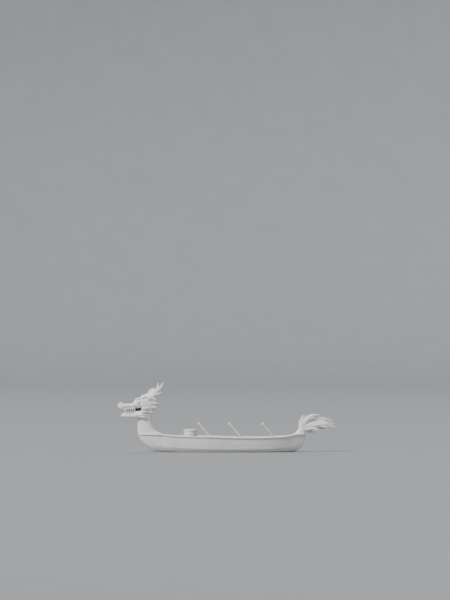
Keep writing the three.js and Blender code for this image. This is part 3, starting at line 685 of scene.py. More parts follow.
@dataclass(frozen=True)
class VarnishedTimber(Finish):
    """Pale varnished wood: growth rings drawn out along the grain, fine fibres, and pores."""

    grain: Grain
    light: Colour = (0.62, 0.43, 0.24, 1)
    dark: Colour = (0.40, 0.235, 0.11, 1)
    pore: Colour = (0.22, 0.12, 0.055, 1)
    warm: Colour = (0.70, 0.50, 0.30, 1)
    gloss: float = 0.38

    def stretch(self, along: float, across: float) -> Point:
        """A scale that draws a pattern out along the grain."""
        return tuple(along if axis == self.grain.value else across for axis in range(3))

    def fibrous(self, shader: Shader, shift: Socket, along: float, across: float, *pattern: float) -> Socket:
        """A noise pattern drawn out along the grain and moved by a vector."""
        return shader.noise(shader.stretched(self.stretch(along, across), shift), *pattern)

    def paint(self, shader: Shader) -> Material:
        """Adds the finish's nodes.

        Args:
            shader: the finish's shader.

        Returns:
            Its material.
        """
        tone = shader.add("Attribute", {}, output="Fac", attribute_name="tone")
        shift = shader.add("CombineXYZ", {0: tone, 1: shader.times(tone, 1.7), 2: tone})
        rings = self.fibrous(shader, shift, 0.5, 9.0, 2.6, 3, 0.45, 0.6)
        bands = shader.add("Math", {0: shader.times(rings, 34.0)}, operation="SINE")
        fibres = self.fibrous(shader, shift, 5.0, 260.0, 1.4, 4, 0.6)
        pores = shader.fit(self.fibrous(shader, shift, 16.0, 420.0, 1.0, 2, 0.5), 0.62, 0.70)
        mixed = shader.sum(shader.fit(bands, -1, 1, 0, 0.55), shader.fit(fibres, 0.3, 0.7, 0, 0.45))
        colour = shader.blend(mixed, self.light, self.dark)
        patchy = shader.fit(self.fibrous(shader, shift, 1, 1, 1.3, 2), 0.35, 0.65, 0, 0.35)
        colour = shader.blend(patchy, colour, self.warm)
        colour = shader.blend(shader.times(pores, 0.5), colour, self.pore)
        shader.raise_by(fibres, 0.0006, 0.5)
        shader.raise_by(pores, -0.0004, 0.5)
        cloud = shader.noise(shader.place, 9.0, 4)
        rough = shader.fit(cloud, 0.35, 0.65, self.gloss - 0.08, self.gloss + 0.14)
        return shader.finish(colour, rough, coat_weight=0.3, coat_roughness=0.2)


@dataclass(frozen=True)
class StretchedHide(Finish):
    """Pale hide drawn over a drum: mottled, with fine pores and a beaten, paler middle."""

    centre: Point
    pale: Colour = (0.82, 0.76, 0.62, 1)
    dark: Colour = (0.60, 0.50, 0.34, 1)
    beaten: Colour = (0.86, 0.82, 0.72, 1)

    def paint(self, shader: Shader) -> Material:
        """Adds the finish's nodes.

        Args:
            shader: the finish's shader.

        Returns:
            Its material.
        """
        mottle = shader.noise(shader.place, 14.0, 6, 0.62)
        pores = shader.add("TexVoronoi", {"Vector": shader.place, "Scale": 420.0})
        apart = shader.add("VectorMath", {0: shader.place, 1: self.centre}, output=1, operation="DISTANCE")
        worn = shader.fit(apart, 0.04, 0.19)
        colour = shader.blend(shader.fit(mottle, 0.38, 0.68), self.pale, self.dark)
        colour = shader.blend(shader.times(worn, 0.6), self.beaten, colour)
        shader.raise_by(mottle, 0.0015, 0.35)
        shader.raise_by(pores, 0.0004, 0.4)
        return shader.finish(colour, shader.fit(mottle, 0.3, 0.7, 0.48, 0.66), subsurface_weight=0.05)


@dataclass(frozen=True)
class GlossEnamel(Finish):
    """Glossy white over carved teeth and eyes, a little yellowed in patches."""

    white: Colour = (0.88, 0.86, 0.80, 1)
    yellowed: Colour = (0.72, 0.66, 0.52, 1)

    def paint(self, shader: Shader) -> Material:
        """Adds the finish's nodes.

        Args:
            shader: the finish's shader.

        Returns:
            Its material.
        """
        cloud = shader.noise(shader.place, 22.0, 5, 0.6)
        streaks = shader.noise(shader.stretched((60.0, 60.0, 8.0)), 3.0, 3, 0.5)
        colour = shader.blend(shader.fit(cloud, 0.45, 0.72, 0, 0.7), self.white, self.yellowed)
        shader.raise_by(streaks, 0.0008, 0.3)
        rough = shader.fit(cloud, 0.3, 0.7, 0.16, 0.30)
        return shader.finish(colour, rough, coat_weight=0.5, coat_roughness=0.1)


@dataclass(frozen=True)
class FlatBlack(Finish):
    """Flat black paint in the mouth, dusty and uneven; it also stands in for the shade deep inside the mouth.
    """

    black: Colour = (0.012, 0.012, 0.013, 1)
    dusty: Colour = (0.035, 0.033, 0.030, 1)

    def paint(self, shader: Shader) -> Material:
        """Adds the finish's nodes.

        Args:
            shader: the finish's shader.

        Returns:
            Its material.
        """
        dust = shader.noise(shader.place, 26.0, 5, 0.6)
        shader.raise_by(dust, 0.001, 0.4)
        return shader.finish(shader.blend(shader.fit(dust, 0.4, 0.7), self.black, self.dusty),
                             shader.fit(dust, 0.3, 0.7, 0.6, 0.8))


@dataclass(frozen=True)
class StudioGrey(Finish):
    """The floor and backdrop: a pale matt grey with a faint mottle."""

    grey: Colour = (0.245, 0.25, 0.26, 1)
    other: Colour = (0.235, 0.24, 0.25, 1)

    def paint(self, shader: Shader) -> Material:
        """Adds the finish's nodes."""
        mottle = shader.noise(shader.place, 0.8, 4)
        return shader.finish(shader.blend(shader.fit(mottle, 0.35, 0.65), self.grey, self.other), 0.85)


Coat = tuple[Finish, str]  # a finish and the record's material slot that it shows

HULL_WHITE: Coat = (BrushedPaint("hull white", tide=True), "hull_paint")
CARVED_WHITE: Coat = (BrushedPaint("carved white", brush=(16.0, 16.0, 16.0), gouge=(50.0, 70.0, 70.0),
                                   gouge_depth=0.0015, aged=(0.76, 0.755, 0.73, 1)), "carving_paint")
GEAR_WHITE = BrushedPaint("gear white", brush=(30.0, 30.0, 4.0))
DRUM_WHITE: Coat = (GEAR_WHITE, "drum_paint")
PADDLE_WHITE: Coat = (GEAR_WHITE, "paddle_paint")
TIMBER_ALONG: Coat = (VarnishedTimber("timber fore and aft", Grain.FORE_AFT), "bare_timber")
TIMBER_ACROSS: Coat = (VarnishedTimber("timber athwart", Grain.ATHWART), "bare_timber")
STICK_WOOD: Coat = (VarnishedTimber("stick wood", Grain.FORE_AFT, light=(0.66, 0.47, 0.27, 1), gloss=0.3),
                    "stick_timber")
TOOTH_WHITE: Coat = (GlossEnamel("tooth white"), "enamel")
# black paint in the mouth that also stands in for the shade deep inside it
MOUTH_BLACK: Coat = (FlatBlack("mouth black"), "mouth_black")


@functools.cache
def material_of(finish: Finish) -> Material:
    """The finish's material, built once."""
    return finish.material()


def mesh_of(name: str, form: Form, crease: float) -> bpy.types.Mesh:
    """Puts a form into a mesh.

    Args:
        name: the mesh's name.
        form: the form.
        crease: the angle in degrees from which an edge is sharp.

    Returns:
        The mesh.
    """
    mesh = bpy.data.meshes.new(name)
    mesh.vertices.add(len(form.points))
    mesh.vertices.foreach_set("co", form.points.astype(np.float32).ravel())
    corners = np.concatenate([form.quads.ravel(), form.tris.ravel()])
    mesh.loops.add(len(corners))
    mesh.loops.foreach_set("vertex_index", corners.astype(np.int32))
    starts = np.concatenate([
        4 * np.arange(len(form.quads)),
        form.quads.size + 3 * np.arange(len(form.tris)),
    ])
    mesh.polygons.add(len(starts))
    mesh.polygons.foreach_set("loop_start", starts.astype(np.int32))
    mesh.update(calc_edges=True)
    mesh.validate()
    mesh.attributes.new("tone", "FLOAT", "POINT").data.foreach_set("value", form.tones().astype(np.float32))
    mesh.shade_smooth()
    mesh.set_sharp_from_angle(angle=math.radians(crease))
    return mesh


def linked(name: str, data: bpy.types.ID) -> bpy.types.Object:
    """Adds an object to the scene.

    Args:
        name: its name.
        data: its mesh, light or camera.

    Returns:
        The object.
    """
    made = bpy.data.objects.new(name, data)
    bpy.context.scene.collection.objects.link(made)
    return made


def place(name: str, form: Form, finish: Finish, slot: str, stands_for: Sequence[str] = (),
          crease: float = 40.0) -> None:
    """Makes one piece of the boat: its mesh, finish, body and the nodes that it stands for.

    Args:
        name: the piece's name.
        form: its form.
        finish: its finish.
        slot: not used.
        stands_for: the frame's nodes that it is shown instead of.
        crease: as in mesh_of.
    """
    piece = linked(name, mesh_of(name, form, crease))
    piece.data.materials.append(material_of(finish))
    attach(piece, "root")
    if stands_for:
        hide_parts(*stands_for)
    LOG.info("%s: %d points, %d faces", name, len(form.points), len(form.quads) + len(form.tris))


def stand_in(node: str, form: Form, finish: Finish, slot: str, crease: float = 40.0) -> None:
    """Places a form that is shown instead of one node."""
    place(f"dressed_{node}", form, finish, slot, [node], crease)


def place_pair(name: str, form: Form, finish: Finish, slot: str, crease: float = 40.0) -> None:
    """Places a port form and its mirror image, each for the node of its name and side."""
    for side, one in ((Side.PORT, form), (Side.STARBOARD, form.mirrored())):
        stand_in(f"{name}_{side.word}", one, finish, slot, crease)


def dress(nodes: Iterable[str], finish: Finish) -> None:
    """Gives carried-over nodes a finish through their material slots.

    Args:
        nodes: the nodes.
        finish: the finish.
    """
    for node in nodes:
        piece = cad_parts[node]
        piece.data.materials.clear()
        piece.data.materials.append(material_of(finish))
        LOG.info("%s keeps its solid and takes %s", node, finish.name)


# The hull's shape, which the pieces share


@dataclass(frozen=True)
class End:
    """One solid end of the hull: where its planks stop, its profile as heights and reaches, and the height
    of the top edge there."""

    joint: float
    profile: Array
    sheer: float


@dataclass(frozen=True)
class HullShape:
    """The outside of the hull as a function of place and height, by the same tables as the frame."""

    # place, keel's height, top edge's height, half breadth, and how full the section is in thousandths
    stations: Array = table_of(
        (-1990, 9, 526, 205, 150), (-1750, -36, 479, 300, 400), (-1400, -73, 461, 400, 700),
        (-1000, -90, 451, 468, 900), (-500, -98, 452, 512, 1000), (0, -100, 459, 530, 1000),
        (500, -98, 478, 522, 1000), (1000, -83, 485, 475, 850), (1400, -57, 494, 400, 600),
        (1700, -24, 506, 318, 350), (1950, 2, 536, 238, 150),
    )
    bow: End = field(default_factory=lambda: End(1.950, rows(
        (2, 1962), (6, 1995), (21, 2106), (69, 2199), (108, 2295), (165, 2373), (219, 2445), (282, 2517),
        (369, 2595), (456, 2634), (545, 2670),
    ), 0.536))
    aft: End = field(default_factory=lambda: End(-1.990, rows(
        (9, -2002), (24, -2055), (45, -2124), (105, -2205), (195, -2265), (288, -2307), (372, -2328),
        (456, -2351), (545, -2367),
    ), 0.526))
    # corners: share of the half breadth, what fullness adds, share of the depth, what fullness takes off
    corners: Entries = (
        (0, 0, 0, 0), (0.2, 0, 0, 0), (0.46, 0.17, 0.13, 0.06), (0.73, 0.15, 0.34, 0), (1, 0, 1, 0),
    )
    block_top: float = 0.545
    level_from: float = 2.080
    nose_low: float = 0.034
    nose_high: float = 0.052
    narrowing: float = 1.25
    plank: float = 0.020
    gap: float = 0.0003

    def line(self, x: Array) -> Array:
        """The port half of the section at each place: five corners from the centreline to the top edge, by
        the table of corners.

        Args:
            x: n places.

        Returns:
            n by 5 by 2: breadth and height.
        """
        keel, sheer, half, full = read_table(self.stations, x[:, None], 1, 2, 3, 4)
        wide, wider, high, lower = np.array(self.corners).T
        return np.stack([half * (wide + wider * full), between(keel, sheer, high - lower * full)], -1)

    def inset(self, x: Array, distance: float) -> Array:
        """The same corners moved into the boat: each by the sum of its two edges' normals, over one plus
        their product, so that every edge stays at one distance. The last stays at the top edge's height.

        Args:
            x: n places.
            distance: how far.

        Returns:
            n by 5 by 2.
        """
        line = self.line(x)
        edge = unit(np.diff(line, axis=1))
        normal = np.stack([-edge[..., 1], edge[..., 0]], -1)
        before, after = normal[:, :-1], normal[:, 1:]
        line[:, 0, 1] += distance
        line[:, 1:4] += (before + after) * distance / (1 + np.sum(before * after, -1, keepdims=True))
        line[:, 4, 0] += distance / normal[:, 3, 0]
        return line

    def crossing(self, line: Array, z: Array) -> Array:
        """The breadth of each line at a height, straight between its corners.

        Args:
            line: n lines by 5 corners by 2.
            z: n heights.

        Returns:
            n breadths.
        """
        breadth = line[:, 0, 0]
        for row in range(1, 5):
            (y0, z0), (y1, z1) = line[:, row - 1].T, line[:, row].T
            share = np.clip((z - z0) / np.maximum(z1 - z0, 1e-9), 0, 1)
            breadth = np.where((z > z0) | (row == 1), between(y0, y1, share), breadth)
        return breadth

    def reach(self, end: End, z: Array) -> Array:
        """How far an end reaches at a height."""
        return read_table(end.profile, z, 1)[0]

    def block_half(self, end: End, x: Array, z: Array) -> Array:
        """Half breadth of a solid end: from the planks' section at the joint it narrows to the nose with the
        share of the way to the profile, raised to a power.

        Args:
            end: which end.
            x: places.
            z: heights, as many.

        Returns:
            Half breadths.
        """
        share = np.clip((x - end.joint) / (self.reach(end, z) - end.joint), 0, 1)
        foot = end.profile[0, 0]
        nose = between(self.nose_low, self.nose_high, (z - foot) / (self.block_top - foot))
        line = np.repeat(self.line(np.array([end.joint])), len(z), 0)
        wide = self.crossing(line, np.minimum(z, end.sheer))
        return between(nose, np.maximum(wide, nose), 1 - share ** self.narrowing)

    def by_place(self, x: Array, middle: Array, aft: Array, fore: Array) -> Array:
        """The planks', the stern's or the bow's values, whichever count at each place."""
        return np.where(x > self.bow.joint, fore, np.where(x < self.aft.joint, aft, middle))

    def half_at(self, x: Array, z: Array) -> Array:
        """Half breadth of the whole outside.

        Args:
            x: places.
            z: heights, as many.

        Returns:
            Half breadths.
        """
        middle = self.crossing(self.line(np.clip(x, self.aft.joint, self.bow.joint)), z)
        ends = (self.block_half(end, x, z) for end in (self.aft, self.bow))
        return self.by_place(x, middle, *ends)

    def sheer_at(self, x: Array) -> Array:
        """The top edge's height: it rises in a straight line from each joint until it is level.

        Args:
            x: places.

        Returns:
            Heights.
        """
        fore = np.interp(x, [self.bow.joint, self.level_from], [self.bow.sheer, self.block_top])
        aft = np.interp(x, [-self.level_from, self.aft.joint], [self.block_top, self.aft.sheer])
        return self.by_place(x, read_table(self.stations, x, 2)[0], aft, fore)

    def waterline(self, count: int) -> Array:
        """The hull's half breadths at the waterline from stern to bow.

        Args:
            count: how many.

        Returns:
            Places and half breadths.
        """
        aft = np.interp(0.0, self.stations[:3, 1][::-1], self.stations[:3, 0][::-1])
        fore = np.interp(0.0, self.stations[-3:, 1], self.stations[-3:, 0])
        x = between(aft, fore, eased(count))
        return np.stack([x, self.crossing(self.line(x), np.zeros(count))], 1)


SHAPE = HullShape()


# Sub-assemblies


@dataclass
class Hull:
    """The planks, the two solid ends and the rub rails, with their nails."""

    seam: float = 0.0005
    bevel: float = 0.0035
    crown: float = 0.005
    lengths: int = 110
    names: tuple[str, ...] = ("garboard", "bilge_plank", "sheer_plank")
    rail_thick: float = 0.0255
    rail_high: float = 0.044
    rail_aft: float = -2.330
    rail_fore: float = 2.630
    rail_end: float = 0.03
    rail_tip: float = 0.02 ** 0.5
    # radius and height of the nail heads
    nail: tuple[float, float] = (0.0065, 0.0012)
    rail_nail: tuple[float, float] = (0.006, 0.001)
    first_nail: float = 0.06
    rail_nails_from: float = 0.09
    rail_nails_to: float = 0.05
    nail_pitch: float = 0.145
    nail_inset: float = 0.028
    nail_clear: float = 0.06
    groove: float = 0.0035
    # the corner where a groove starts, and how far it climbs to the nose
    groove_climbs: tuple[tuple[int, float], ...] = ((2, 0.05), (3, 0.09))
    top_round: float = 0.010
    nose_from: float = 0.86

    def plank(self, row: int) -> Form:
        """One port plank between two of the hull's edges. Across the plank, shares from edge to edge give its
        outer face with bevelled edges and a slight crown, the sine of the share, and then its inner face.

        Args:
            row: the edge that it starts from.

        Returns:
            The plank.
        """
        x = np.linspace(SHAPE.aft.joint, SHAPE.bow.joint, self.lengths)
        outer, inner = SHAPE.inset(x, 0), SHAPE.inset(x, SHAPE.plank)
        wide = np.linalg.norm(outer[:, row + 1] - outer[:, row], axis=1)[:, None]
        cut, slope = (self.seam / 2) / wide, (self.seam / 2 + self.bevel) / wide
        face = np.linspace(0, 1, 9)
        share = np.concatenate([cut, between(slope, 1 - slope, face), 1 - cut, 1 - cut, cut], 1)[..., None]
        depth = [self.bevel, *(-self.crown * np.sin(np.pi * face)), self.bevel, SHAPE.plank, SHAPE.plank]
        faces = (between(line[:, None, row], line[:, None, row + 1], share) for line in (outer, inner))
        flat = between(*faces, np.array(depth)[:, None] / SHAPE.plank)
        return tube(grid(x[:, None], flat[..., 0], flat[..., 1]))

    def bottom(self) -> Form:
        """The flat bottom plank: a level board whose half breadth is that of the second corner, bevelled.

        Returns:
            The plank.
        """
        x = np.linspace(SHAPE.aft.joint, SHAPE.bow.joint, self.lengths)
        outer, inner = SHAPE.inset(x, 0)[:, 1], SHAPE.inset(x, SHAPE.plank)[:, 1]
        cut = self.seam / 2
        steps = ((outer, cut + self.bevel, 0), (outer, cut, self.bevel), (inner, cut, 0))
        port = [grid(x, line[:, 0] - less, line[:, 1] + up) for line, less, up in steps]
        return tube(np.stack([*port, *(mirror(ring) for ring in port[::-1])], 1))

    def block(self, end: End) -> Form:
        """A solid end: level outlines from the joint to the profile, whose breadth is the shape's, rounded
        off over the nose as a circle, grooved where the planks' seams run on, and with a rounded top edge.

        Args:
            end: which end.

        Returns:
            The block.
        """
        way = math.copysign(1, end.joint)
        foot, top = end.profile[0, 0], SHAPE.block_top
        edge = top - self.top_round * (1 - np.sin(quarter(6)))
        z = np.unique(np.concatenate([between(foot, top - self.top_round, np.linspace(0, 1, 120)), edge]))
        share = np.concatenate([np.linspace(0, self.nose_from, 30), between(self.nose_from, 1, eased(20))])
        level, along = np.meshgrid(z, np.unique(share), indexing="ij")
        reach = SHAPE.reach(end, level)
        x = between(end.joint + way * SHAPE.gap, reach, along)
        half = SHAPE.block_half(end, x.ravel(), level.ravel()).reshape(x.shape)
        half = half * bulge(np.abs(reach - x), 0.8 * SHAPE.nose_high)
        drawn = self.top_round * (1 - bulge(top - level, self.top_round))
        x = x - way * drawn * along
        half = np.maximum(half - drawn, 0)
        corners = SHAPE.line(np.array([end.joint]))[0]
        for corner, climb in self.groove_climbs:
            seam = corners[corner, 1] + climb * along ** 2
            half = half - np.minimum(half, self.groove * bell(level - seam, self.groove))
        port = grid(x, half, level)
        return tube(np.concatenate([port, mirror(port[:, ::-1])], 1))

    def rail(self) -> Form:
        """The rub rail: a section with a rounded outer side, carried along the top edge and held against the
        hull's outside at its upper and lower edges, and drawn in at both ends.

        Returns:
            The port rail.
        """
        x = between(self.rail_aft, self.rail_fore, eased(160))
        top = SHAPE.sheer_at(x)
        high, low = (SHAPE.half_at(x, level)[:, None] for level in (top, top - self.rail_high))
        end = np.minimum(np.abs(x - self.rail_aft), np.abs(x - self.rail_fore))
        full = np.maximum(bulge(end, self.rail_end), self.rail_tip)[:, None]
        angle = np.linspace(-np.pi / 2, np.pi / 2, 11)
        out = np.array([0, *(0.45 + 0.55 * np.cos(angle)), 0])
        up = 0.5 + np.array([-0.5, *(0.5 * np.sin(angle)), 0.5]) * full
        y = between(low, high, up) + SHAPE.gap + self.rail_thick * out * full
        return tube(grid(x[:, None], y, top[:, None] - self.rail_high * (1 - up)))

    def nails(self) -> Form:
        """Nail heads in two lines along every side plank, a finger's width from its edges.

        Returns:
            The nails of both sides.
        """
        x = np.arange(SHAPE.aft.joint + self.first_nail, SHAPE.bow.joint, self.nail_pitch)
        line = SHAPE.line(x)
        places, normals = [], []
        for row in (1, 2, 3):
            edge = line[:, row + 1] - line[:, row]
            inset = self.nail_inset / np.linalg.norm(edge, axis=1, keepdims=True)
            out = unit(np.stack([edge[:, 1], -edge[:, 0]], 1))
            for share in (inset, 1 - inset):
                at = line[:, row] + edge * share + out * self.crown * np.sin(np.pi * share)
                places.append(np.column_stack([x, at]))
                normals.append(np.column_stack([0 * x, out]))
        at, facing = np.concatenate(places), np.concatenate(normals)
        clear = at[:, 2] < SHAPE.sheer_at(at[:, 0]) - self.nail_clear
        return both(studs(at[clear], facing[clear], *self.nail))

    def rail_nails(self) -> Form:
        """Nail heads along the middle of the rub rails.

        Returns:
            The nails of both rails.
        """
        aft, fore = self.rail_aft + self.rail_nails_from, self.rail_fore - self.rail_nails_to
        x = np.arange(aft, fore, self.nail_pitch)
        z = SHAPE.sheer_at(x) - self.rail_high / 2
        near = 0.002
        slope = (SHAPE.half_at(x + near, z) - SHAPE.half_at(x - near, z)) / (2 * near)
        places = np.column_stack([x, SHAPE.half_at(x, z) + SHAPE.gap + self.rail_thick, z])
        return both(studs(places, np.column_stack([-slope, np.ones_like(x), 0 * x]), *self.rail_nail))

    def build(self) -> None:
        """Builds and dresses the hull."""
        stand_in("bottom_plank", self.bottom(), *HULL_WHITE)
        for row, name in enumerate(self.names, 1):
            place_pair(name, self.plank(row), *HULL_WHITE)
        for name, end in (("bow_block", SHAPE.bow), ("stern_block", SHAPE.aft)):
            stand_in(name, self.block(end), *HULL_WHITE)
        place_pair("rub_rail", self.rail(), *HULL_WHITE)
        place("plank_nails", self.nails(), *HULL_WHITE)
        place("rail_nails", self.rail_nails(), *HULL_WHITE)


@dataclass
class Inside:
    """The inwales, seat risers, floor, benches and decks."""

    inwale_thick: float = 0.024
    inwale_high: float = 0.040
    rib: float = 0.024
    # where it starts and ends, its underside and its top
    riser: tuple[float, float, float, float] = (-1.700, 1.500, 0.197, 0.247)
    riser_thick: float = 0.018
    lengths: int = 90
    deck_thick: float = 0.020
    deck_clear: float = 0.0015
    # radius and height of a plug, and the plugs' places as shares of the bench, by its number of boards
    plug: tuple[float, float] = (0.008, 0.0006)
    plug_inset: float = 0.03
    plug_shares: dict[int, tuple[float, ...]] = field(default_factory=lambda: {
        2: (0.14, 0.36, 0.64, 0.86), 3: (0.1, 0.25, 0.43, 0.57, 0.75, 0.9),
    })

    def strip(self, aft: float, fore: float, outer: float, inner: float, low: Callable[[Array], Array],
              high: Callable[[Array], Array]) -> Form:
        """A long strip inside the planks: a rounded section between two distances from the hull's outside and
        two heights, carried along the boat.

        Args:
            aft: where it starts.
            fore: where it ends.
            outer: its outer face's distance inside the hull's outside.
            inner: its inner face's distance.
            low: its underside's height at places.
            high: its top's height at places.

        Returns:
            The port strip.
        """
        x = np.linspace(aft, fore, self.lengths)
        bottom, top = low(x), high(x)
        across, up = (rounded(1.0, 1.0, 0.14) + 0.5).T
        faces = []
        for distance in (outer, inner):
            line = SHAPE.inset(x, distance)
            line[:, 4, 1] += 1e-6
            faces.append(between(*(SHAPE.crossing(line, z)[:, None] for z in (bottom, top)), up))
        z = between(bottom[:, None], top[:, None], up)
        return tube(grid(x[:, None], between(*faces, across), z), tone=0.3)

    def deck(self, node: str, count: int) -> Form:
        """Boards athwart that fill a deck's node, each cut to the deck's own slanting edge.

        Args:
            node: the deck's node.
            count: how many boards.

        Returns:
            The deck.
        """
        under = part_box(node)[1][2] - self.deck_thick

        def reach(x: Array) -> Array:
            """Half breadth inside the inwales at places along the deck."""
            line = SHAPE.inset(x.ravel(), SHAPE.plank + self.inwale_thick + SHAPE.gap)
            return (SHAPE.crossing(line, np.full(x.size, under)) - self.deck_clear).reshape(x.shape)

        return boards(node, Grain.ATHWART, count, reach)

    def plugs(self, node: str, shares: Sequence[float]) -> Form:
        """Round wooden plugs over the fastenings at both ends of a bench.

        Args:
            node: the bench's node.
            shares: the plugs' places as shares of its breadth.

        Returns:
            The plugs.
        """
        low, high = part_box(node)
        x = between(low[0], high[0], np.array(shares))
        ends = (high[1] - self.plug_inset, low[1] + self.plug_inset)
        at = np.concatenate([grid(x, y, high[2]) for y in ends])
        return studs(at, np.tile([0.0, 0.0, 1.0], (len(at), 1)), *self.plug, 10)

    def build(self) -> None:
        """Builds and dresses the inside."""
        inwale = self.strip(SHAPE.aft.joint, SHAPE.bow.joint, SHAPE.plank + SHAPE.gap,
                            SHAPE.plank + self.inwale_thick, lambda x: SHAPE.sheer_at(x) - self.inwale_high,
                            SHAPE.sheer_at)
        place_pair("inwale", inwale, *HULL_WHITE)
        aft, fore, low, high = self.riser
        start = SHAPE.plank + self.rib + 2 * SHAPE.gap
        riser = self.strip(aft, fore, start, start + self.riser_thick, lambda x: np.full(x.shape, low),
                           lambda x: np.full(x.shape, high))
        place_pair("seat_riser", riser, *TIMBER_ALONG)
        for name in ("floorboard_middle", "floorboard_port", "floorboard_starboard"):
            stand_in(name, boards(name, Grain.FORE_AFT, 2), *TIMBER_ALONG)
        plugs = []
        for name, count in (("bench_1", 2), ("bench_2", 2), ("bench_3", 2), ("drum_thwart", 3)):
            stand_in(name, boards(name, Grain.ATHWART, count), *TIMBER_ACROSS)
            plugs.append(self.plugs(name, self.plug_shares[count]))
        for name, count in (("fore_deck", 4), ("aft_deck", 2)):
            stand_in(name, self.deck(name, count), *TIMBER_ACROSS)
        place("bench_plugs", joined(plugs), *TIMBER_ACROSS)
        dress(["fore_bulkhead", "aft_bulkhead", *(f"frame_{row}" for row in (1, 2, 3, 4))], TIMBER_ACROSS[0])


@dataclass(frozen=True)
class Bump:
    """A rounded swelling or hollow on both sides of a carving: its middle, its reach and its height, in
    millimetres."""

    middle: Point
    reach: Point
    height: float

    def at(self, points: Array) -> Array:
        """Its height at points: a bell of the distance from its middle, each axis counted in reaches.

        Args:
            points: the points.

        Returns:
            Heights in metres.
        """
        near = points * [1, 0, 1] + np.abs(points) * [0, 1, 0]
        away = (near - np.array(self.middle) * MM) / (np.array(self.reach) * MM)
        return self.height * MM * np.exp(-np.sum(away ** 2, -1))


def bumps(*entries: Sequence[float]) -> tuple[Bump, ...]:
    """Bumps from rows of seven numbers: middle, reach and height."""
    return tuple(Bump(row[:3], row[3:6], row[6]) for row in entries)


@dataclass(frozen=True)
class Lock:
    """A lock of carved hair or a horn: root, bend and tip in millimetres, and its half depth and breadth."""

    root: Point
    bend: Point
    tip: Point
    depth: float
    breadth: float
    round_end: float = 0.08
    scoop: Point = (0.040, 0.028, 0.028)
    scoop_deep: float = 0.05

    def centre(self, t: Array) -> Array:
        """Its middle line, a curve that starts towards the bend and ends away from it.

        Args:
            t: shares of the way.

        Returns:
            Points.
        """
        root, bend, tip = (np.array(point) * MM for point in (self.root, self.bend, self.tip))
        t = t[:, None]
        return (1 - t) ** 2 * root + 2 * t * (1 - t) * bend + t * t * tip

    def frame_at(self, t: Array) -> tuple[Array, Array, Array]:
        """Its middle line with the directions across and upwards at each point.

        Args:
            t: shares of the way.

        Returns:
            Points and both directions.
        """
        line = self.centre(t)
        along, across = port_frame(np.gradient(line, t, axis=0))
        return line, across, np.cross(across, along)

    def form(self, grooves: int = 5, depth: float = 0.16, steps: int = 30, around: int = 40,
             full: float = 2.6, twist: float = 1.2) -> Form:
        """Its surface: an oval carried along the middle line, whose size is one less the share of the way
        raised to a power, with a rounded root. Grooves run along it, a bell of the cosine of the angle, and
        turn slowly. A gouge's scoops draw the surface towards the middle line.

        Args:
            grooves: how many run along it.
            depth: how deep they are, as a share of its size.
            steps: rings along it.
            around: points in a ring.
            full: the power.
            twist: how far the grooves turn, in radians.

        Returns:
            The lock.
        """
        root = self.round_end * (1 - np.cos(np.linspace(0.03, 1.5, 6)))
        t = np.concatenate([root, between(self.round_end, 0.999, np.sin(quarter(steps - 6)))])
        line, across, upwards = self.frame_at(t)
        size = np.maximum(1 - t ** full, 0.012) * bulge(t, self.round_end)
        angle = turns(around)[None]
        cut = (0.5 + 0.5 * np.cos(grooves * angle + twist * t[:, None])) ** 3
        radius = size[:, None] * (1 - depth * cut)
        wide = (self.breadth * MM * radius * np.cos(angle))[..., None]
        high = (0.96 * self.depth * MM * radius * np.sin(angle))[..., None]
        rings = line[:, None] + across[:, None] * wide + upwards[:, None] * high
        cuts = scoops(rings, self.scoop) * size[:, None]
        return tube(rings + self.scoop_deep * cuts[..., None] * (line[:, None] - rings))

    def branch(self, start: float, end: float, aside: float, size: float, out: float = 0.0) -> "Lock":
        """A thinner lock that leaves this one: its root lies on this one's middle line and its tip beside it.

        Args:
            start: the share of the way where it leaves.
            end: the share of the way that its tip lies beside.
            aside: how far the tip lies above the line, in this one's depths.
            size: its size as a share of this one's.
            out: how far the tip lies out to the side, in this one's breadths.

        Returns:
            The branch.
        """
        line, across, upwards = self.frame_at(np.array([start, (start + end) / 2, end]))
        lift = np.array([0.0, 0.25, 1.0])[:, None] * aside * self.depth * MM
        push = np.array([0.0, 0.4, 1.0])[:, None] * out * self.breadth * MM
        points = (line + upwards * lift + across * push) / MM
        root, bend, tip = (tuple(float(value) for value in point) for point in points)
        return Lock(root, bend, tip, self.depth * size, self.breadth * size)


def locks(*entries: Sequence[float]) -> tuple[Lock, ...]:
    """Locks from rows of eleven numbers: root, bend, tip, half depth and half breadth."""
    return tuple(Lock(row[:3], row[3:6], row[6:9], *row[9:]) for row in entries)


def rope(ring: Array, height: float, thick: float, twists: int, lay: float = 0.14, around: int = 14) -> Form:
    """A rope, or a moulding like one: a round section carried round a level ring, whose radius swells with
    the cosine of an angle that turns as it goes.

    Args:
        ring: the ring's points.
        height: where it lies.
        thick: its half thickness.
        twists: half turns of the rope.
        lay: how deep the turns are, as a share of its half thickness.
        around: points in its section.

    Returns:
        The rope.
    """
    line = np.column_stack([ring[:, :2], np.full(len(ring), height)])
    turn = np.pi * twists * np.arange(len(ring))[:, None] / len(ring)
    radius = thick * (1 - lay + lay * np.abs(np.cos(turns(around) + turn)))
    return carried(line, radius[..., None] * oval(around), loop=True)


def collar(ring: Array, twists: int) -> Form:
    """A moulding like a rope round the foot of a carving, on the solid end's top."""
    thick = 0.012
    return rope(ring, SHAPE.block_top + thick, thick, twists)


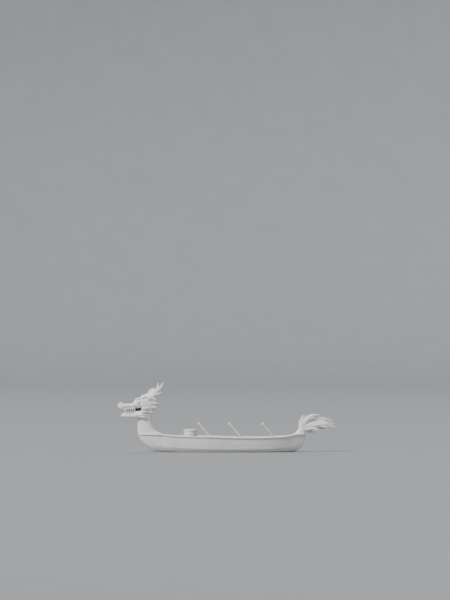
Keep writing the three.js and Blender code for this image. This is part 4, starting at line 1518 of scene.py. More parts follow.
def standing_rings(table: Array, levels: int, around: int, grow: float = 0.0, narrow: float = 0.0) -> Array:
    """Level ovals of power 2.2 that follow a table of heights, backs, fronts and half breadths.

    Args:
        table: the table.
        levels: how many rings.
        around: points in a ring.
        grow: how far they are grown on every side.
        narrow: how much narrower the front is than the middle, and wider the back, as a share.

    Returns:
        The rings.
    """
    z = np.linspace(table[0, 0], table[-1, 0], levels)[:, None]
    back, front, half = read_table(table, z, 1, 2, 3)
    forward, sideways = oval(around, 2.2).T
    x = (back + front) / 2 + forward * ((front - back) / 2 + grow)
    return grid(x, sideways * (half + grow) * (1 - narrow * forward), z)


def lying_rings(table: Array, places: Array, around: int, middle: Array | None = None) -> Array:
    """Upright ovals of power 2.4 that follow a table of places, undersides, tops and half breadths.

    Args:
        table: the table.
        places: where the rings are.
        around: points in a ring.
        middle: the heights where they are broadest, or None for half-way up.

    Returns:
        The rings.
    """
    low, high, half = read_table(table, places[:, None], 1, 2, 3)
    sideways, upwards = oval(around, 2.4).T
    broad = (low + high) / 2 if middle is None else middle[:, None]
    z = broad + upwards * np.where(upwards > 0, high - broad, broad - low)
    return grid(places[:, None], sideways * half, z)


@dataclass
class DragonHead:
    """The neck, head, jaws, mouth, eyes, horns, ears, brows, crest and mane."""

    # heights, backs, fronts, half breadths
    neck: Array = table_of(
        (545.3, 1966, 2668, 128), (591, 2058, 2676, 124), (639, 2136, 2682, 121), (702, 2184, 2686, 118),
        (771, 2226, 2688, 116), (840, 2246, 2686, 115), (900, 2259, 2680, 114), (960, 2261, 2669, 113),
        (1030, 2252, 2650, 112), (1100, 2242, 2625, 110), (1180, 2238, 2590, 108), (1250, 2245, 2560, 104),
    )
    # head, jaw and lining: places, undersides, tops, half breadths
    head: Array = table_of(
        (2060, 1772, 1835, 28), (2100, 1738, 1868, 66), (2150, 1690, 1878, 98), (2190, 1620, 1872, 118),
        (2206, 1290, 1868, 124), (2240, 1165, 1856, 138), (2290, 1105, 1810, 154), (2349, 1080, 1762, 168),
        (2466, 1052, 1706, 180), (2560, 1034, 1664, 183), (2566, 1352, 1661, 183), (2582, 1322, 1654, 181),
        (2628, 1290, 1632, 177), (2673, 1294, 1610, 171), (2721, 1304, 1588, 162), (2764, 1308, 1562, 152),
        (2800, 1308, 1505, 140), (2832, 1306, 1458, 130), (2890, 1302, 1446, 122), (3000, 1292, 1445, 115),
        (3052, 1272, 1445, 113), (3110, 1262, 1449, 110), (3150, 1272, 1480, 104), (3188, 1287, 1494, 95),
        (3232, 1307, 1470, 78), (3264, 1328, 1425, 54), (3285, 1352, 1384, 20),
    )
    # places, and the heights where the head is broadest
    head_middle: Array = table_of(
        (2060, 1803), (2150, 1784), (2206, 1650), (2300, 1490), (2466, 1435), (2560, 1445), (2628, 1448),
        (2764, 1427), (2890, 1368), (3285, 1368),
    )
    jaw: Array = table_of(
        (2566, 992, 1310, 170), (2582, 990, 1270, 168), (2628, 988, 1240, 163), (2673, 990, 1238, 156),
        (2715, 1008, 1244, 148), (2752, 994, 1222, 140), (2790, 998, 1178, 132), (2860, 1006, 1168, 122),
        (2928, 1014, 1166, 114), (2997, 1000, 1166, 107), (3060, 1016, 1164, 99), (3123, 1036, 1160, 84),
        (3160, 1042, 1138, 64), (3186, 1078, 1112, 26),
    )
    lining: Array = table_of(
        (2540, 1270, 1400, 120), (2566, 1270, 1390, 120), (2590, 1242, 1370, 120), (2628, 1226, 1335, 118),
        (2680, 1234, 1340, 112), (2715, 1240, 1345, 100), (2750, 1206, 1345, 84), (2790, 1140, 1350, 60),
        (3004, 1140, 1340, 56),
    )
    # where rings lie in millimetres: from, to, how many
    head_steps: tuple[tuple[int, int, int], ...] = (
        (2060, 2210, 34), (2213, 2556, 110), (2558, 2580, 14), (2584, 3285, 140),
    )
    jaw_steps: tuple[tuple[int, int, int], ...] = ((2566, 2600, 14), (2604, 3186, 130))
    head_carving: tuple[Bump, ...] = bumps(
        (3186, 62, 1462, 48, 34, 34, 12),
        (3226, 58, 1436, 22, 19, 17, -34),
        (2650, 178, 1490, 88, 70, 66, -16),
        (2560, 180, 1420, 70, 60, 46, 14),
        (2420, 180, 1250, 110, 80, 110, 12),
        (2760, 140, 1400, 70, 60, 36, 12),
        (2900, 110, 1400, 90, 60, 26, 6),
        (3060, 100, 1380, 70, 60, 34, 7),
        (2860, 0, 1460, 110, 26, 60, 6),
    )
    jaw_carving: tuple[Bump, ...] = bumps(
        (3080, 70, 1090, 60, 60, 34, 7),
        (2900, 110, 1080, 80, 60, 30, -5),
        (2650, 160, 1120, 60, 60, 80, 10),
    )
    # where the lips run, and the rolls they are made of: height, distance from the edge, half width
    head_mouth: tuple[float, float] = (2.62, 3.27)
    jaw_mouth: tuple[float, float] = (2.72, 3.17)
    head_lip: tuple[Point, ...] = ((0.008, 0.026, 0.013), (-0.005, 0.054, 0.010))
    jaw_lip: tuple[Point, ...] = ((0.007, 0.024, 0.012), (-0.004, 0.050, 0.010))
    # the teeth and the gum, in millimetres
    tooth_places: tuple[float, ...] = (3052, 3000, 2944, 2886, 2826, 2768)
    upper_lengths: tuple[float, ...] = (74, 55, 59, 60, 61, 58)
    lower_lengths: tuple[float, ...] = (33, 46, 50, 50, 47, 34)
    tooth_inset: float = 24
    tooth_root: float = 19
    gum: float = 9
    sink: float = 32
    gum_front: float = 22
    gum_aft: float = 16
    gum_taper: float = 40
    gum_swell: float = 0.09
    front_tooth: float = 26
    front_places: tuple[int, int] = (4, 9)
    # from, to, half breadth, underside, top, in millimetres
    tongue: tuple[float, float, float, float, float] = (2778, 3070, 66, 1208, 1252)
    eye: Point = (2650, 158, 1490)
    eye_radius: float = 52
    eye_lean: float = math.radians(12)
    # the ring cut round the iris: its depth, angle and half width; and the pupil's depth and half width
    iris: Point = (0.003, 0.62, 0.05)
    pupil: tuple[float, float] = (0.006, 0.22)
    # half length, half height and half thicknesses of the lid
    lid: tuple[float, float, float, float] = (0.064, 0.046, 0.011, 0.013)
    # how far out its middle lies, how far its corners lie back, and how far it leans back and up ahead
    lid_bend: tuple[float, float, float, float] = (0.018, 0.030, 0.004, 0.010)
    horns: tuple[Lock, ...] = locks(
        (2150, 62, 1815, 1944, 105, 1896, 1918, 150, 2104, 60, 36),
        (2125, 58, 1820, 2066, 70, 1950, 2066, 96, 2078, 45, 32),
    )
    ear: Lock = Lock((2400, 140, 1560), (2330, 210, 1600), (2210, 236, 1690), 46, 20)
    crest: tuple[Lock, ...] = locks(
        (2350, 0, 1700, 2330, 0, 1800, 2279, 0, 1893, 44, 20),
        (2260, 0, 1790, 2250, 0, 1860, 2196, 0, 1926, 44, 20),
        (2560, 0, 1600, 2560, 0, 1680, 2470, 0, 1716, 40, 20),
    )
    brows: tuple[Lock, ...] = locks(
        (2530, 134, 1606, 2668, 140, 1600, 2768, 118, 1590, 34, 26),
        (2580, 136, 1596, 2480, 152, 1648, 2372, 160, 1672, 30, 24),
    )
    mane_middle: tuple[Lock, ...] = locks(
        (2300, 0, 1600, 2170, 0, 1600, 2062, 0, 1570, 62, 44),
        (2300, 0, 1480, 2140, 0, 1500, 2000, 0, 1455, 60, 44),
        (2300, 0, 1370, 2140, 0, 1400, 2024, 0, 1371, 62, 44),
        (2300, 0, 1280, 2230, 0, 1262, 2166, 0, 1212, 58, 40),
    )
    mane_side: tuple[Lock, ...] = locks(
        (2300, 80, 1712, 2080, 110, 1704, 1937, 140, 1808, 52, 40),
        (2330, 120, 1566, 2180, 165, 1584, 2096, 188, 1566, 54, 34),
        (2340, 120, 1456, 2170, 170, 1484, 2046, 188, 1456, 54, 34),
        (2350, 110, 1330, 2190, 160, 1350, 2070, 170, 1350, 54, 34),
        (2360, 100, 1230, 2280, 140, 1210, 2200, 140, 1186, 48, 30),
    )
    middle_branches: Entries = (
        (0.15, 0.72, 0.55, 0.62, 0.5), (0.15, 0.70, -0.5, 0.62, 0.5),
    )
    side_branches: Entries = (
        (0.10, 0.80, 0.45, 0.62, 0.6), (0.10, 0.75, -0.55, 0.62, 0.5), (0.0, 0.45, 0.1, 0.7, 1.1),
    )
    cheek: tuple[Lock, ...] = locks(
        (2548, 172, 1300, 2460, 202, 1292, 2330, 188, 1340, 38, 20),
        (2600, 142, 1206, 2510, 206, 1186, 2360, 182, 1222, 38, 20),
        (2612, 148, 1144, 2525, 214, 1106, 2372, 186, 1116, 38, 20),
        (2605, 140, 1080, 2525, 206, 1038, 2410, 174, 1040, 34, 18),
    )
    # where the rings of three pieces lie: from, to, how many
    lining_places: tuple[float, float, int] = (2.540, 3.004, 40)
    root_places: tuple[float, float, int] = (2.206, 2.350, 20)
    ridge_places: tuple[float, float, int] = (2.175, 2.598, 90)
    # the saw teeth of the crest's ridge: where they start and end, and their pitch
    ridge_teeth: Point = (2.17, 2.60, 0.053)
    # the ridge's least height, what it gains away from its ends, its teeth's height, and its ends' length
    ridge_high: tuple[float, float, float, float] = (0.006, 0.008, 0.010, 0.03)
    # the mane's root: its lower and upper ends and how far they fade, how far it stands out, its ridges, and
    # how far aft it lies
    root_band: tuple[float, float] = (1.17, 1.77)
    root_fade: float = 0.10
    root_high: float = 0.024
    root_ridge: float = 0.004
    root_ridges: int = 34
    root_aft: float = 0.018
    scoop: Point = (0.044, 0.032, 0.032)
    scoop_deep: float = 0.0042
    neck_scales: int = 22
    scale_high: float = 0.046
    scale_lift: float = 0.0055
    plates_from: float = 0.80
    plate: float = 1.3
    head_scale: float = 0.056
    # how far a region's edge fades; the snout's middle, reach and lowest height; where the scaled rear
    # starts; and the folds' slant, with the height and the place that they slant about
    fade: float = 0.05
    snout: Point = (2.99, 0.13, 1.34)
    rear: float = 2.59
    fold_slant: Point = (0.6, 1.44, 2.84)
    snout_fold: float = 0.052
    fold_lift: float = 0.005
    jaw_ridge: float = 0.058
    jaw_ridge_lift: float = 0.004

    def neck_rings(self, levels: int, around: int, grow: float = 0.0) -> Array:
        """The neck's surface, fuller at the back than at the front."""
        return standing_rings(self.neck, levels, around, grow, 0.3)

    def scaled_neck(self) -> Form:
        """The neck with scales at its sides and back and broad plates down its front, which pass into each
        other where the surface turns forwards.

        Returns:
            The neck.
        """
        rings = self.neck_rings(180, 280)
        rise = (rings[..., 2] - rings[0, 0, 2]) / self.scale_high
        tiles = scales(ring_share(rings) * self.neck_scales, rise)
        front = ramp(oval(280, 2.2)[:, 0][None], self.plates_from, 0.08)
        plates = 1 - (rise / self.plate) % 1
        height = self.scale_lift * ((1 - front) * tiles + front * 1.1 * plates - 0.6)
        return tube(swelled(rings, height - 0.4 * self.scoop_deep * scoops(rings, self.scoop)))

    def head_rings(self, places: Array, around: int) -> Array:
        """The head's surface before it is carved, as rings at the places."""
        return lying_rings(self.head, places, around, read_table(self.head_middle, places, 1)[0])

    def rings_at(self, steps: Sequence[Sequence[int]]) -> Array:
        """The places of rings, from stretches given in millimetres."""
        return np.concatenate([np.linspace(*step) for step in steps]) * MM

    def lip(self, x: Array, edge: Array, mouth: tuple[float, float], rolls: Sequence[Point]) -> Array:
        """The height of a lip: the sum of its rolls' bells, faded out at both ends of the mouth."""
        along = ramp(x, mouth[0], self.fade) * ramp(-x, -mouth[1], 0.04)
        return along * sum(high * bell(edge - at, wide) for high, at, wide in rolls)

    def carved_head(self) -> Form:
        """The head: its table's surface with the carving's swellings and hollows, a lip along the mouth,
        folds across the snout and scales on the cheeks and crown.

        Returns:
            The head.
        """
        steps = self.rings_at(self.head_steps)
        rings = self.head_rings(steps, 260)
        x, _, z = np.moveaxis(rings, -1, 0)
        above = z - read_table(self.head, steps[:, None], 1)[0]
        slant, level, first = self.fold_slant
        leaning = x + slant * (z - level) - first
        folds = np.clip(np.cos(leaning * 2 * np.pi / self.snout_fold), 0, 1) ** 2
        middle, reach, foot = self.snout
        snout = bell(x - middle, reach) * ramp(z, foot, self.fade)
        rear = ramp(-x, -self.rear, self.fade)
        tiles = scales(ring_share(rings) * self.neck_scales, x / self.head_scale, 0.57)
        height = sum(bump.at(rings) for bump in self.head_carving)
        height = height + self.lip(x, above, self.head_mouth, self.head_lip)
        height = height + self.fold_lift * snout * folds + self.scale_lift * rear * (tiles - 0.5)
        return tube(swelled(rings, height - self.scoop_deep * (1 - 0.6 * rear) * scoops(rings, self.scoop)))

    def carved_jaw(self) -> Form:
        """The lower jaw: its table's surface with its swellings, a lip along the mouth and ridges below.

        Returns:
            The jaw.
        """
        steps = self.rings_at(self.jaw_steps)
        rings = lying_rings(self.jaw, steps, 150)
        x, _, z = np.moveaxis(rings, -1, 0)
        low, high = read_table(self.jaw, steps[:, None], 1, 2)
        under = ramp(low - z, -self.fade, 0.03) * np.clip(np.cos(x * 2 * np.pi / self.jaw_ridge), 0, 1) ** 2
        height = sum(bump.at(rings) for bump in self.jaw_carving)
        height = height + self.lip(x, high - z, self.jaw_mouth, self.jaw_lip) + self.jaw_ridge_lift * under
        return tube(swelled(rings, height - self.scoop_deep * scoops(rings, self.scoop)))

    def tooth(self, at: Point, long: float, way: int) -> Form:
        """One tooth: round rings that shrink with the root of the share left, swell again past the middle as
        a bell, end in a point and curve back.

        Args:
            at: the middle of its root, in millimetres.
            long: its length, in millimetres.
            way: 1 for a tooth that points up, or -1.

        Returns:
            The tooth.
        """
        t = np.linspace(0, 1, 15)[:, None]
        radius = self.tooth_root * MM * (0.85 * (1 - t) ** 0.5 + 0.42 * bell(t - 0.55, 0.28))
        x, y, z = (value * MM for value in at)
        forward, sideways = oval(14).T
        x = x - 0.012 * t ** 2 + radius * forward
        return tube(grid(x, y + 0.72 * radius * sideways, z + way * long * MM * t))

    def teeth(self, table: Array, column: int, way: int, lengths: Sequence[float]) -> Form:
        """A jaw's teeth in their gum: an oval roll that runs along both sides and round the front as half an
        ellipse, and swells at each tooth as the cosine of the way from one to the next.

        Args:
            table: the jaw's table.
            column: the column of the edge that the teeth stand on.
            way: 1 for teeth that point up, or -1.
            lengths: the teeth's lengths from front to back.

        Returns:
            The teeth and their gum.
        """
        places = np.array(self.tooth_places)
        edge, out = (value / MM for value in read_table(table, places * MM, column, 3))
        out = out - self.tooth_inset
        roots = zip(places, out, edge)
        made = [self.tooth(root, long + self.gum, way) for root, long in zip(roots, lengths)]
        turn = quarter(15)[1:]
        front = np.stack([places[0] + self.gum_front * np.sin(turn), out[0] * np.cos(turn)], 1)
        for at in self.front_places:
            x, y = front[at]
            made.append(self.tooth((x, y, edge[0]), self.front_tooth + self.gum, way))
        x = np.linspace(places[-1] - self.gum_aft, places[0], 80)
        y = read_table(table, x * MM, 3)[0] / MM - self.tooth_inset
        flat = np.concatenate([np.stack([x, y], 1), front])
        z, = read_table(table, np.minimum(flat[:, 0], places[0]) * MM, column)
        line = np.column_stack([flat * MM, z + way * (self.gum - self.sink) / 2 * MM])
        line = np.concatenate([line, mirror(line[-2::-1])])
        phase = np.interp(-np.abs(flat[:, 0]), -places, np.arange(len(places)))
        ends = np.sqrt(np.clip((flat[:, 0] - flat[0, 0]) / self.gum_taper, 0.01, 1))
        swell = (1 + self.gum_swell * np.cos(2 * np.pi * phase)) * ends
        swell = np.concatenate([swell, swell[-2::-1]])[:, None, None]
        section = oval(22, 2.5) * [self.gum * MM, (self.gum + self.sink) / 2 * MM]
        return joined([both(joined(made)), carried(line, section * swell)])

    def carved_tongue(self) -> Form:
        """The tongue: flat ovals that narrow at the tip and rise there, with a hollow down the middle.

        Returns:
            The tongue.
        """
        aft, fore, half, low, high = (value * MM for value in self.tongue)
        t = np.linspace(0, 1, 40)
        wide = half * np.maximum(bulge(1 - t, 0.28), 0.1) * (1 + 0.45 * ramp(-t, -0.72, 0.72))
        thick = (high - low) / 2 * np.minimum(1.05 - 0.55 * t, 1)
        middle = (low + high) / 2 + 0.003 * np.sin(np.pi * t) - 0.002
        sideways, upwards = oval(40, 2.2).T
        y = sideways * wide[:, None]
        z = middle[:, None] + upwards * thick[:, None] - 0.006 * bell(y, 0.012) * np.clip(upwards, 0, 1)
        return tube(grid(between(aft, fore, t)[:, None], y, z))

    def carved_eye(self) -> Form:
        """The port eye: a ball turned about Y, with a ring cut round its iris and a hollow pupil.

        Returns:
            The port eye.
        """
        angle = np.linspace(0, np.pi, 60)
        radius = self.eye_radius * MM * np.ones_like(angle)
        ring_deep, ring, ring_wide = self.iris
        deep, wide = self.pupil
        radius -= ring_deep * bell(angle - ring, ring_wide) + deep * bell(angle, wide)
        ball = lathe(np.stack([radius * np.sin(angle) + 1e-5, radius * np.cos(angle)], 1), 40)
        upright = np.array([[1.0, 0.0, 0.0], [0.0, 0.0, -1.0], [0.0, 1.0, 0.0]])
        ahead, aside = math.cos(self.eye_lean), math.sin(self.eye_lean)
        look = np.array([[ahead, -aside, 0], [aside, ahead, 0], [0, 0, 1]])
        return ball.turned(upright @ look).moved(np.array(self.eye) * MM)

    def eyelid(self) -> Form:
        """A lid round the port eye: a thin roll bent into an almond about the ball.

        Returns:
            The port lid.
        """
        ahead, up = np.cos(turns(60)), np.sin(turns(60))
        x, y, z = (value * MM for value in self.eye)
        long, high, *thick = self.lid
        middle, corners, back, rise = self.lid_bend
        out = middle - corners * ahead ** 2 - back * ahead
        line = grid(x + long * ahead, y + out, z + high * up + rise * ahead)
        along, out = port_frame(np.roll(line, -1, 0) - np.roll(line, 1, 0))
        first, second = (oval(12) * thick).T[..., None]
        return tube(line[:, None] + first * out[:, None] + second * np.cross(out, along)[:, None], loop=True)

    def mane(self) -> Form:
        """The mane: its main locks with two or three thinner ones leaving each, and the band at the roots.

        Returns:
            The mane.
        """
        pairs = []
        for lock in self.mane_side:
            pairs += [lock, *(lock.branch(*one) for one in self.side_branches)]
        pairs += [lock.branch(*one) for lock in self.mane_middle for one in self.middle_branches]
        plain = [lock.form() for lock in self.mane_middle]
        return joined(plain + [both(lock.form()) for lock in pairs] + [self.mane_root()])

    def mane_root(self) -> Form:
        """The band that the mane stands on: the head's surface grown by 20 mm and moved 18 mm aft, both of
        which fade to nothing at its upper and lower ends, with ridges across it.

        Returns:
            The band.
        """
        rings = self.head_rings(np.linspace(*self.root_places), 160)
        z = rings[..., 2]
        low, high = self.root_band
        share = ramp(z, low, self.root_fade) * ramp(-z, -high, self.root_fade)
        share = share * share * (3 - 2 * share)
        ridges = self.root_ridge * np.cos(2 * np.pi * self.root_ridges * ring_share(rings))
        rings = swelled(rings, share * (self.root_high + ridges) - self.root_ridge)
        rings[..., 0] -= self.root_aft * share
        return tube(rings)

    def crest_ridge(self) -> Form:
        """The low ridge that the crest's spikes stand on, along the top of the head, with a saw-tooth top.

        Returns:
            The ridge.
        """
        aft, fore, pitch = self.ridge_teeth
        x = np.linspace(*self.ridge_places)
        top, = read_table(self.head, x, 2)
        least, more, tooth, reach = self.ridge_high
        end = np.clip(np.minimum(x - aft, fore - x) / reach, None, 1)
        lift = least + (more + tooth * ((x - aft) / pitch % 1)) * end
        half = np.array([(0.016, -1.0), (0.016, 0.1), (0.008, 0.8)])
        y, up = np.concatenate([half, [(0.0, 1.0)], half[::-1] * [-1, 1]]).T
        z = top[:, None] + np.where(up > 0, up * lift[:, None], 0.02 * up)
        return tube(grid(x[:, None], y, z))

    def build(self) -> None:
        """Builds and dresses the head."""
        stand_in("neck", self.scaled_neck(), *CARVED_WHITE)
        place("neck_collar", collar(self.neck_rings(2, 300, 0.004)[0], 56), *CARVED_WHITE)
        stand_in("head", self.carved_head(), *CARVED_WHITE, SOFT)
        stand_in("lower_jaw", self.carved_jaw(), *CARVED_WHITE, SOFT)
        stand_in("tongue", self.carved_tongue(), *CARVED_WHITE)
        for name, teeth in (("upper_teeth", (self.head, 1, -1, self.upper_lengths)),
                            ("lower_teeth", (self.jaw, 2, 1, self.lower_lengths))):
            stand_in(name, self.teeth(*teeth), *TOOTH_WHITE)
        place_pair("eye", self.carved_eye(), *TOOTH_WHITE)
        place("eyelids", both(self.eyelid()), *CARVED_WHITE)
        horn = joined(horn.form(7, 0.10, 40, 56, 4.6, 4.0) for horn in self.horns)
        place_pair("horn", horn, *CARVED_WHITE)
        place_pair("ear", self.ear.form(3, 0.30, 34, 40, twist=0.3), *CARVED_WHITE)
        place_pair("brow", joined(brow.form(5, 0.2) for brow in self.brows), *CARVED_WHITE)
        spikes = [spike.form(5, 0.2, full=4.2) for spike in self.crest]
        stand_in("crest", joined([*spikes, self.crest_ridge()]), *CARVED_WHITE)
        stand_in("mane", self.mane(), *CARVED_WHITE)
        place("cheek_locks", joined(both(lock.form(5, 0.2)) for lock in self.cheek), *CARVED_WHITE)
        # the lining is black paint that also stands in for the shade deep in the mouth, so the gaps between
        # the teeth read dark
        lining = tube(lying_rings(self.lining, np.linspace(*self.lining_places), 60))
        stand_in("mouth_lining", lining, *MOUTH_BLACK, SOFT)


@dataclass
class Tail:
    """The tail's stalk and its plume."""

    stalk: Array = table_of(
        (545.3, -2366, -2010, 96), (580, -2370, -2046, 90), (645, -2374, -2110, 84), (700, -2380, -2146, 80),
        (740, -2380, -2172, 74),
    )
    middle: tuple[Lock, ...] = locks(
        (-2236, 0, 690, -2190, 0, 985, -2362, 0, 1112, 88, 60),
        (-2270, 0, 680, -2640, 0, 1130, -3204, 0, 911, 98, 62),
        (-2280, 0, 680, -2700, 0, 770, -2962, 0, 692, 76, 60),
        (-2290, 0, 645, -2450, 0, 650, -2630, 0, 566, 64, 54),
    )
    side: tuple[Lock, ...] = locks(
        (-2250, 24, 700, -2380, 60, 1140, -2800, 92, 1103, 92, 44),
        (-2270, 26, 680, -2700, 80, 930, -3284, 86, 738, 92, 46),
        (-2290, 26, 660, -2600, 78, 760, -2826, 96, 638, 66, 42),
        (-2400, 30, 800, -2900, 66, 930, -3226, 60, 834, 60, 36),
    )
    middle_branches: Entries = (
        (0.3, 0.84, 0.55, 0.5, 0.5), (0.25, 0.80, -0.6, 0.5, 0.6), (0.15, 0.62, -0.75, 0.5, 0.5),
    )
    side_branches: Entries = (
        (0.25, 0.82, 0.5, 0.5, 0.9), (0.2, 0.80, -0.6, 0.5, 0.9), (0.1, 0.6, 0.0, 0.6, 1.2),
        (0.1, 0.62, -0.75, 0.5, 0.5),
    )
    stalk_scales: int = 16
    scale_high: float = 0.042
    scale_lift: float = 0.005

    def scaled_stalk(self) -> Form:
        """The stalk with scales over it.

        Returns:
            The stalk.
        """
        rings = standing_rings(self.stalk, 64, 220)
        rise = (rings[..., 2] - rings[0, 0, 2]) / self.scale_high
        tiles = scales(ring_share(rings) * self.stalk_scales, rise)
        return tube(swelled(rings, self.scale_lift * (tiles - 0.6)))

    def plume(self) -> Form:
        """The plume: its main locks, deeply grooved, with thinner ones leaving them above and below.

        Returns:
            The plume.
        """
        look = {"grooves": 7, "depth": 0.2, "steps": 40, "around": 56, "twist": 1.6}
        plain, pairs = ([lock.form(**look) for lock in row] for row in (self.middle, self.side))
        for row, branches in ((self.middle[:3], self.middle_branches), (self.side, self.side_branches)):
            pairs += [lock.branch(*one).form(steps=26, around=35) for lock in row for one in branches]
        return joined(plain + [both(form) for form in pairs])

    def build(self) -> None:
        """Builds and dresses the tail."""
        stand_in("tail_stalk", self.scaled_stalk(), *CARVED_WHITE)
        place("tail_collar", collar(standing_rings(self.stalk, 2, 200)[0], 36), *CARVED_WHITE)
        stand_in("tail_plume", self.plume(), *CARVED_WHITE)


@dataclass
class Drum:
    """The drum: a shell of staves, a hide skin held by tacks and a hoop, and the two sticks."""

    place_x: float = 1.087
    foot: float = 0.2756
    top: float = 0.678
    wall: float = 0.016
    # outer radius at shares of the height from the foot up
    shape: tuple[tuple[float, float], ...] = (
        (0, 0.182), (0.25, 0.196), (0.5, 0.204), (0.75, 0.209), (1, 0.211),
    )
    skin: float = 0.004
    skirt: float = 0.046
    hoop: float = 0.006
    skin_round: float = 0.008
    # how far in and down its edge ends, its dish's depth, and its innermost ring
    skin_edge: float = 0.012
    dish: float = 0.0015
    pin: float = 0.0005
    skirt_wave: float = 0.003
    joint_deep: float = 0.0025
    foot_bevel: float = 0.003
    hoop_up: float = 0.014
    tack: tuple[float, float] = (0.006, 0.003)
    tack_down: float = 0.014
    staves: int = 26
    tacks: int = 44
    # a stick's radius at its butt, what it gains towards the knob, how long the butt's rounding is, and the
    # knob's radius
    butt: float = 0.0065
    taper: float = 0.0015
    butt_round: float = 0.004
    knob: float = 0.012

    @property
    def seat(self) -> float:
        """The height that the skin lies on."""
        return self.top - self.skin

    def radius_at(self, z: Array) -> Array:
        """The shell's outer radius at heights."""
        share = (z - self.foot) / (self.seat - self.foot)
        return smooth_read(*np.array(self.shape).T, share)

    @property
    def rim(self) -> float:
        """The skin's inner radius."""
        return self.radius_at(np.array([self.seat]))[0] + SHAPE.gap

    def shell(self) -> Form:
        """The shell: circles outside and inside, with a groove cut outside wherever two staves meet.

        Returns:
            The shell.
        """
        end = self.seat - SHAPE.gap
        z = np.concatenate([[self.foot], np.linspace(self.foot, end, 24)])
        forward, sideways = oval(self.staves * 8).T
        joint = (0.5 + 0.5 * np.cos(self.staves * turns(self.staves * 8))) ** 8
        outer = self.radius_at(z)[:, None] - self.joint_deep * joint[None]
        outer[0] -= self.foot_bevel
        inner = np.broadcast_to(self.radius_at(z[::-1])[:, None] - self.wall, outer.shape)
        radius = np.concatenate([outer, inner])
        rings = grid(radius * forward, radius * sideways, np.concatenate([z, z[::-1]])[:, None])
        return tube(rings, loop=True).moved((self.place_x, 0, 0))

    def hide(self) -> Form:
        """The skin: a shallow dish with a rounded edge and a skirt whose lower edge waves.

        Returns:
            The skin.
        """
        inner, outer = self.rim, self.rim + self.skin
        foot = self.seat - self.skirt
        bend, curve = quarter(7), self.skin_round
        edge = np.stack([outer - curve + curve * np.sin(bend), self.top - curve + curve * np.cos(bend)], 1)
        slope = np.linspace(self.top - self.dish, self.top, 14)
        dish = np.stack([np.linspace(self.pin, outer - self.skin_edge, 14), slope], 1)
        skirt = np.stack([np.full(8, outer), np.linspace(self.top - self.skin_edge, foot, 8)], 1)
        under = np.array([(inner, foot), (inner, self.seat), (self.pin, self.seat)])
        rings = turned_rings(np.concatenate([dish, edge, skirt, under]), self.tacks * 6)
        wave = self.skirt_wave * (1 - np.cos(self.tacks * turns(self.tacks * 6)))
        rings[..., 2] += wave * ramp(-rings[..., 2], -foot - self.skin_edge, self.skin_edge)
        return tube(rings).moved((self.place_x, 0, 0))

    def ring_of_tacks(self) -> Form:
        """The tacks that hold the skin, evenly round its skirt.

        Returns:
            The tacks.
        """
        turn = oval(self.tacks)
        level = np.zeros((self.tacks, 1))
        middle = (self.rim + self.skin) * turn + [self.place_x, 0]
        at = np.hstack([middle, level + self.seat - self.tack_down])
        return studs(at, np.hstack([turn, level]), *self.tack)

    def rope_hoop(self) -> Form:
        """The hoop round the skirt, cut as a laid rope.

        Returns:
            The hoop.
        """
        ring = (self.rim + SHAPE.gap + self.skin + self.hoop) * oval(264) + [self.place_x, 0]
        height = self.seat - self.skirt + self.hoop_up
        return rope(ring, height, self.hoop, 66, 0.12, 12)

    def stick(self, node: str) -> Form:
        """A stick along X that fills its node: a tapered shaft with a round knob, turned about its length.

        Args:
            node: its node.

        Returns:
            The stick.
        """
        low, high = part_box(node)
        long = high[0] - low[0]
        middle = (low + high) / 2
        t = np.linspace(0, 1, 34)
        shaft = self.butt + self.taper * t
        ball = np.sqrt(np.clip(self.knob ** 2 - ((t - 1) * long + self.knob) ** 2, 0, None))
        butt = np.sqrt(np.clip(t * long / self.butt_round, 0, 1))
        ends = np.where(t * long > long - self.knob, ball, np.maximum(shaft * butt, ball))
        profile = np.stack([np.maximum(ends, 0.0003), (t - 0.5) * long], 1)
        return lathe(profile, 20).turned(LAID_ALONG).moved(middle)

    def build(self) -> None:
        """Builds and dresses the drum and its sticks."""
        hide = StretchedHide("drum hide", (self.place_x, 0, self.top))
        stand_in("drum_shell", self.shell(), *DRUM_WHITE)
        stand_in("drum_skin", self.hide(), hide, "drum_hide")
        stand_in("drum_hoop", self.rope_hoop(), *DRUM_WHITE)
        place("drum_tacks", self.ring_of_tacks(), *DRUM_WHITE)
        for side in Side:
            name = f"drumstick_{side.word}"
            stand_in(name, self.stick(name), *STICK_WOOD)


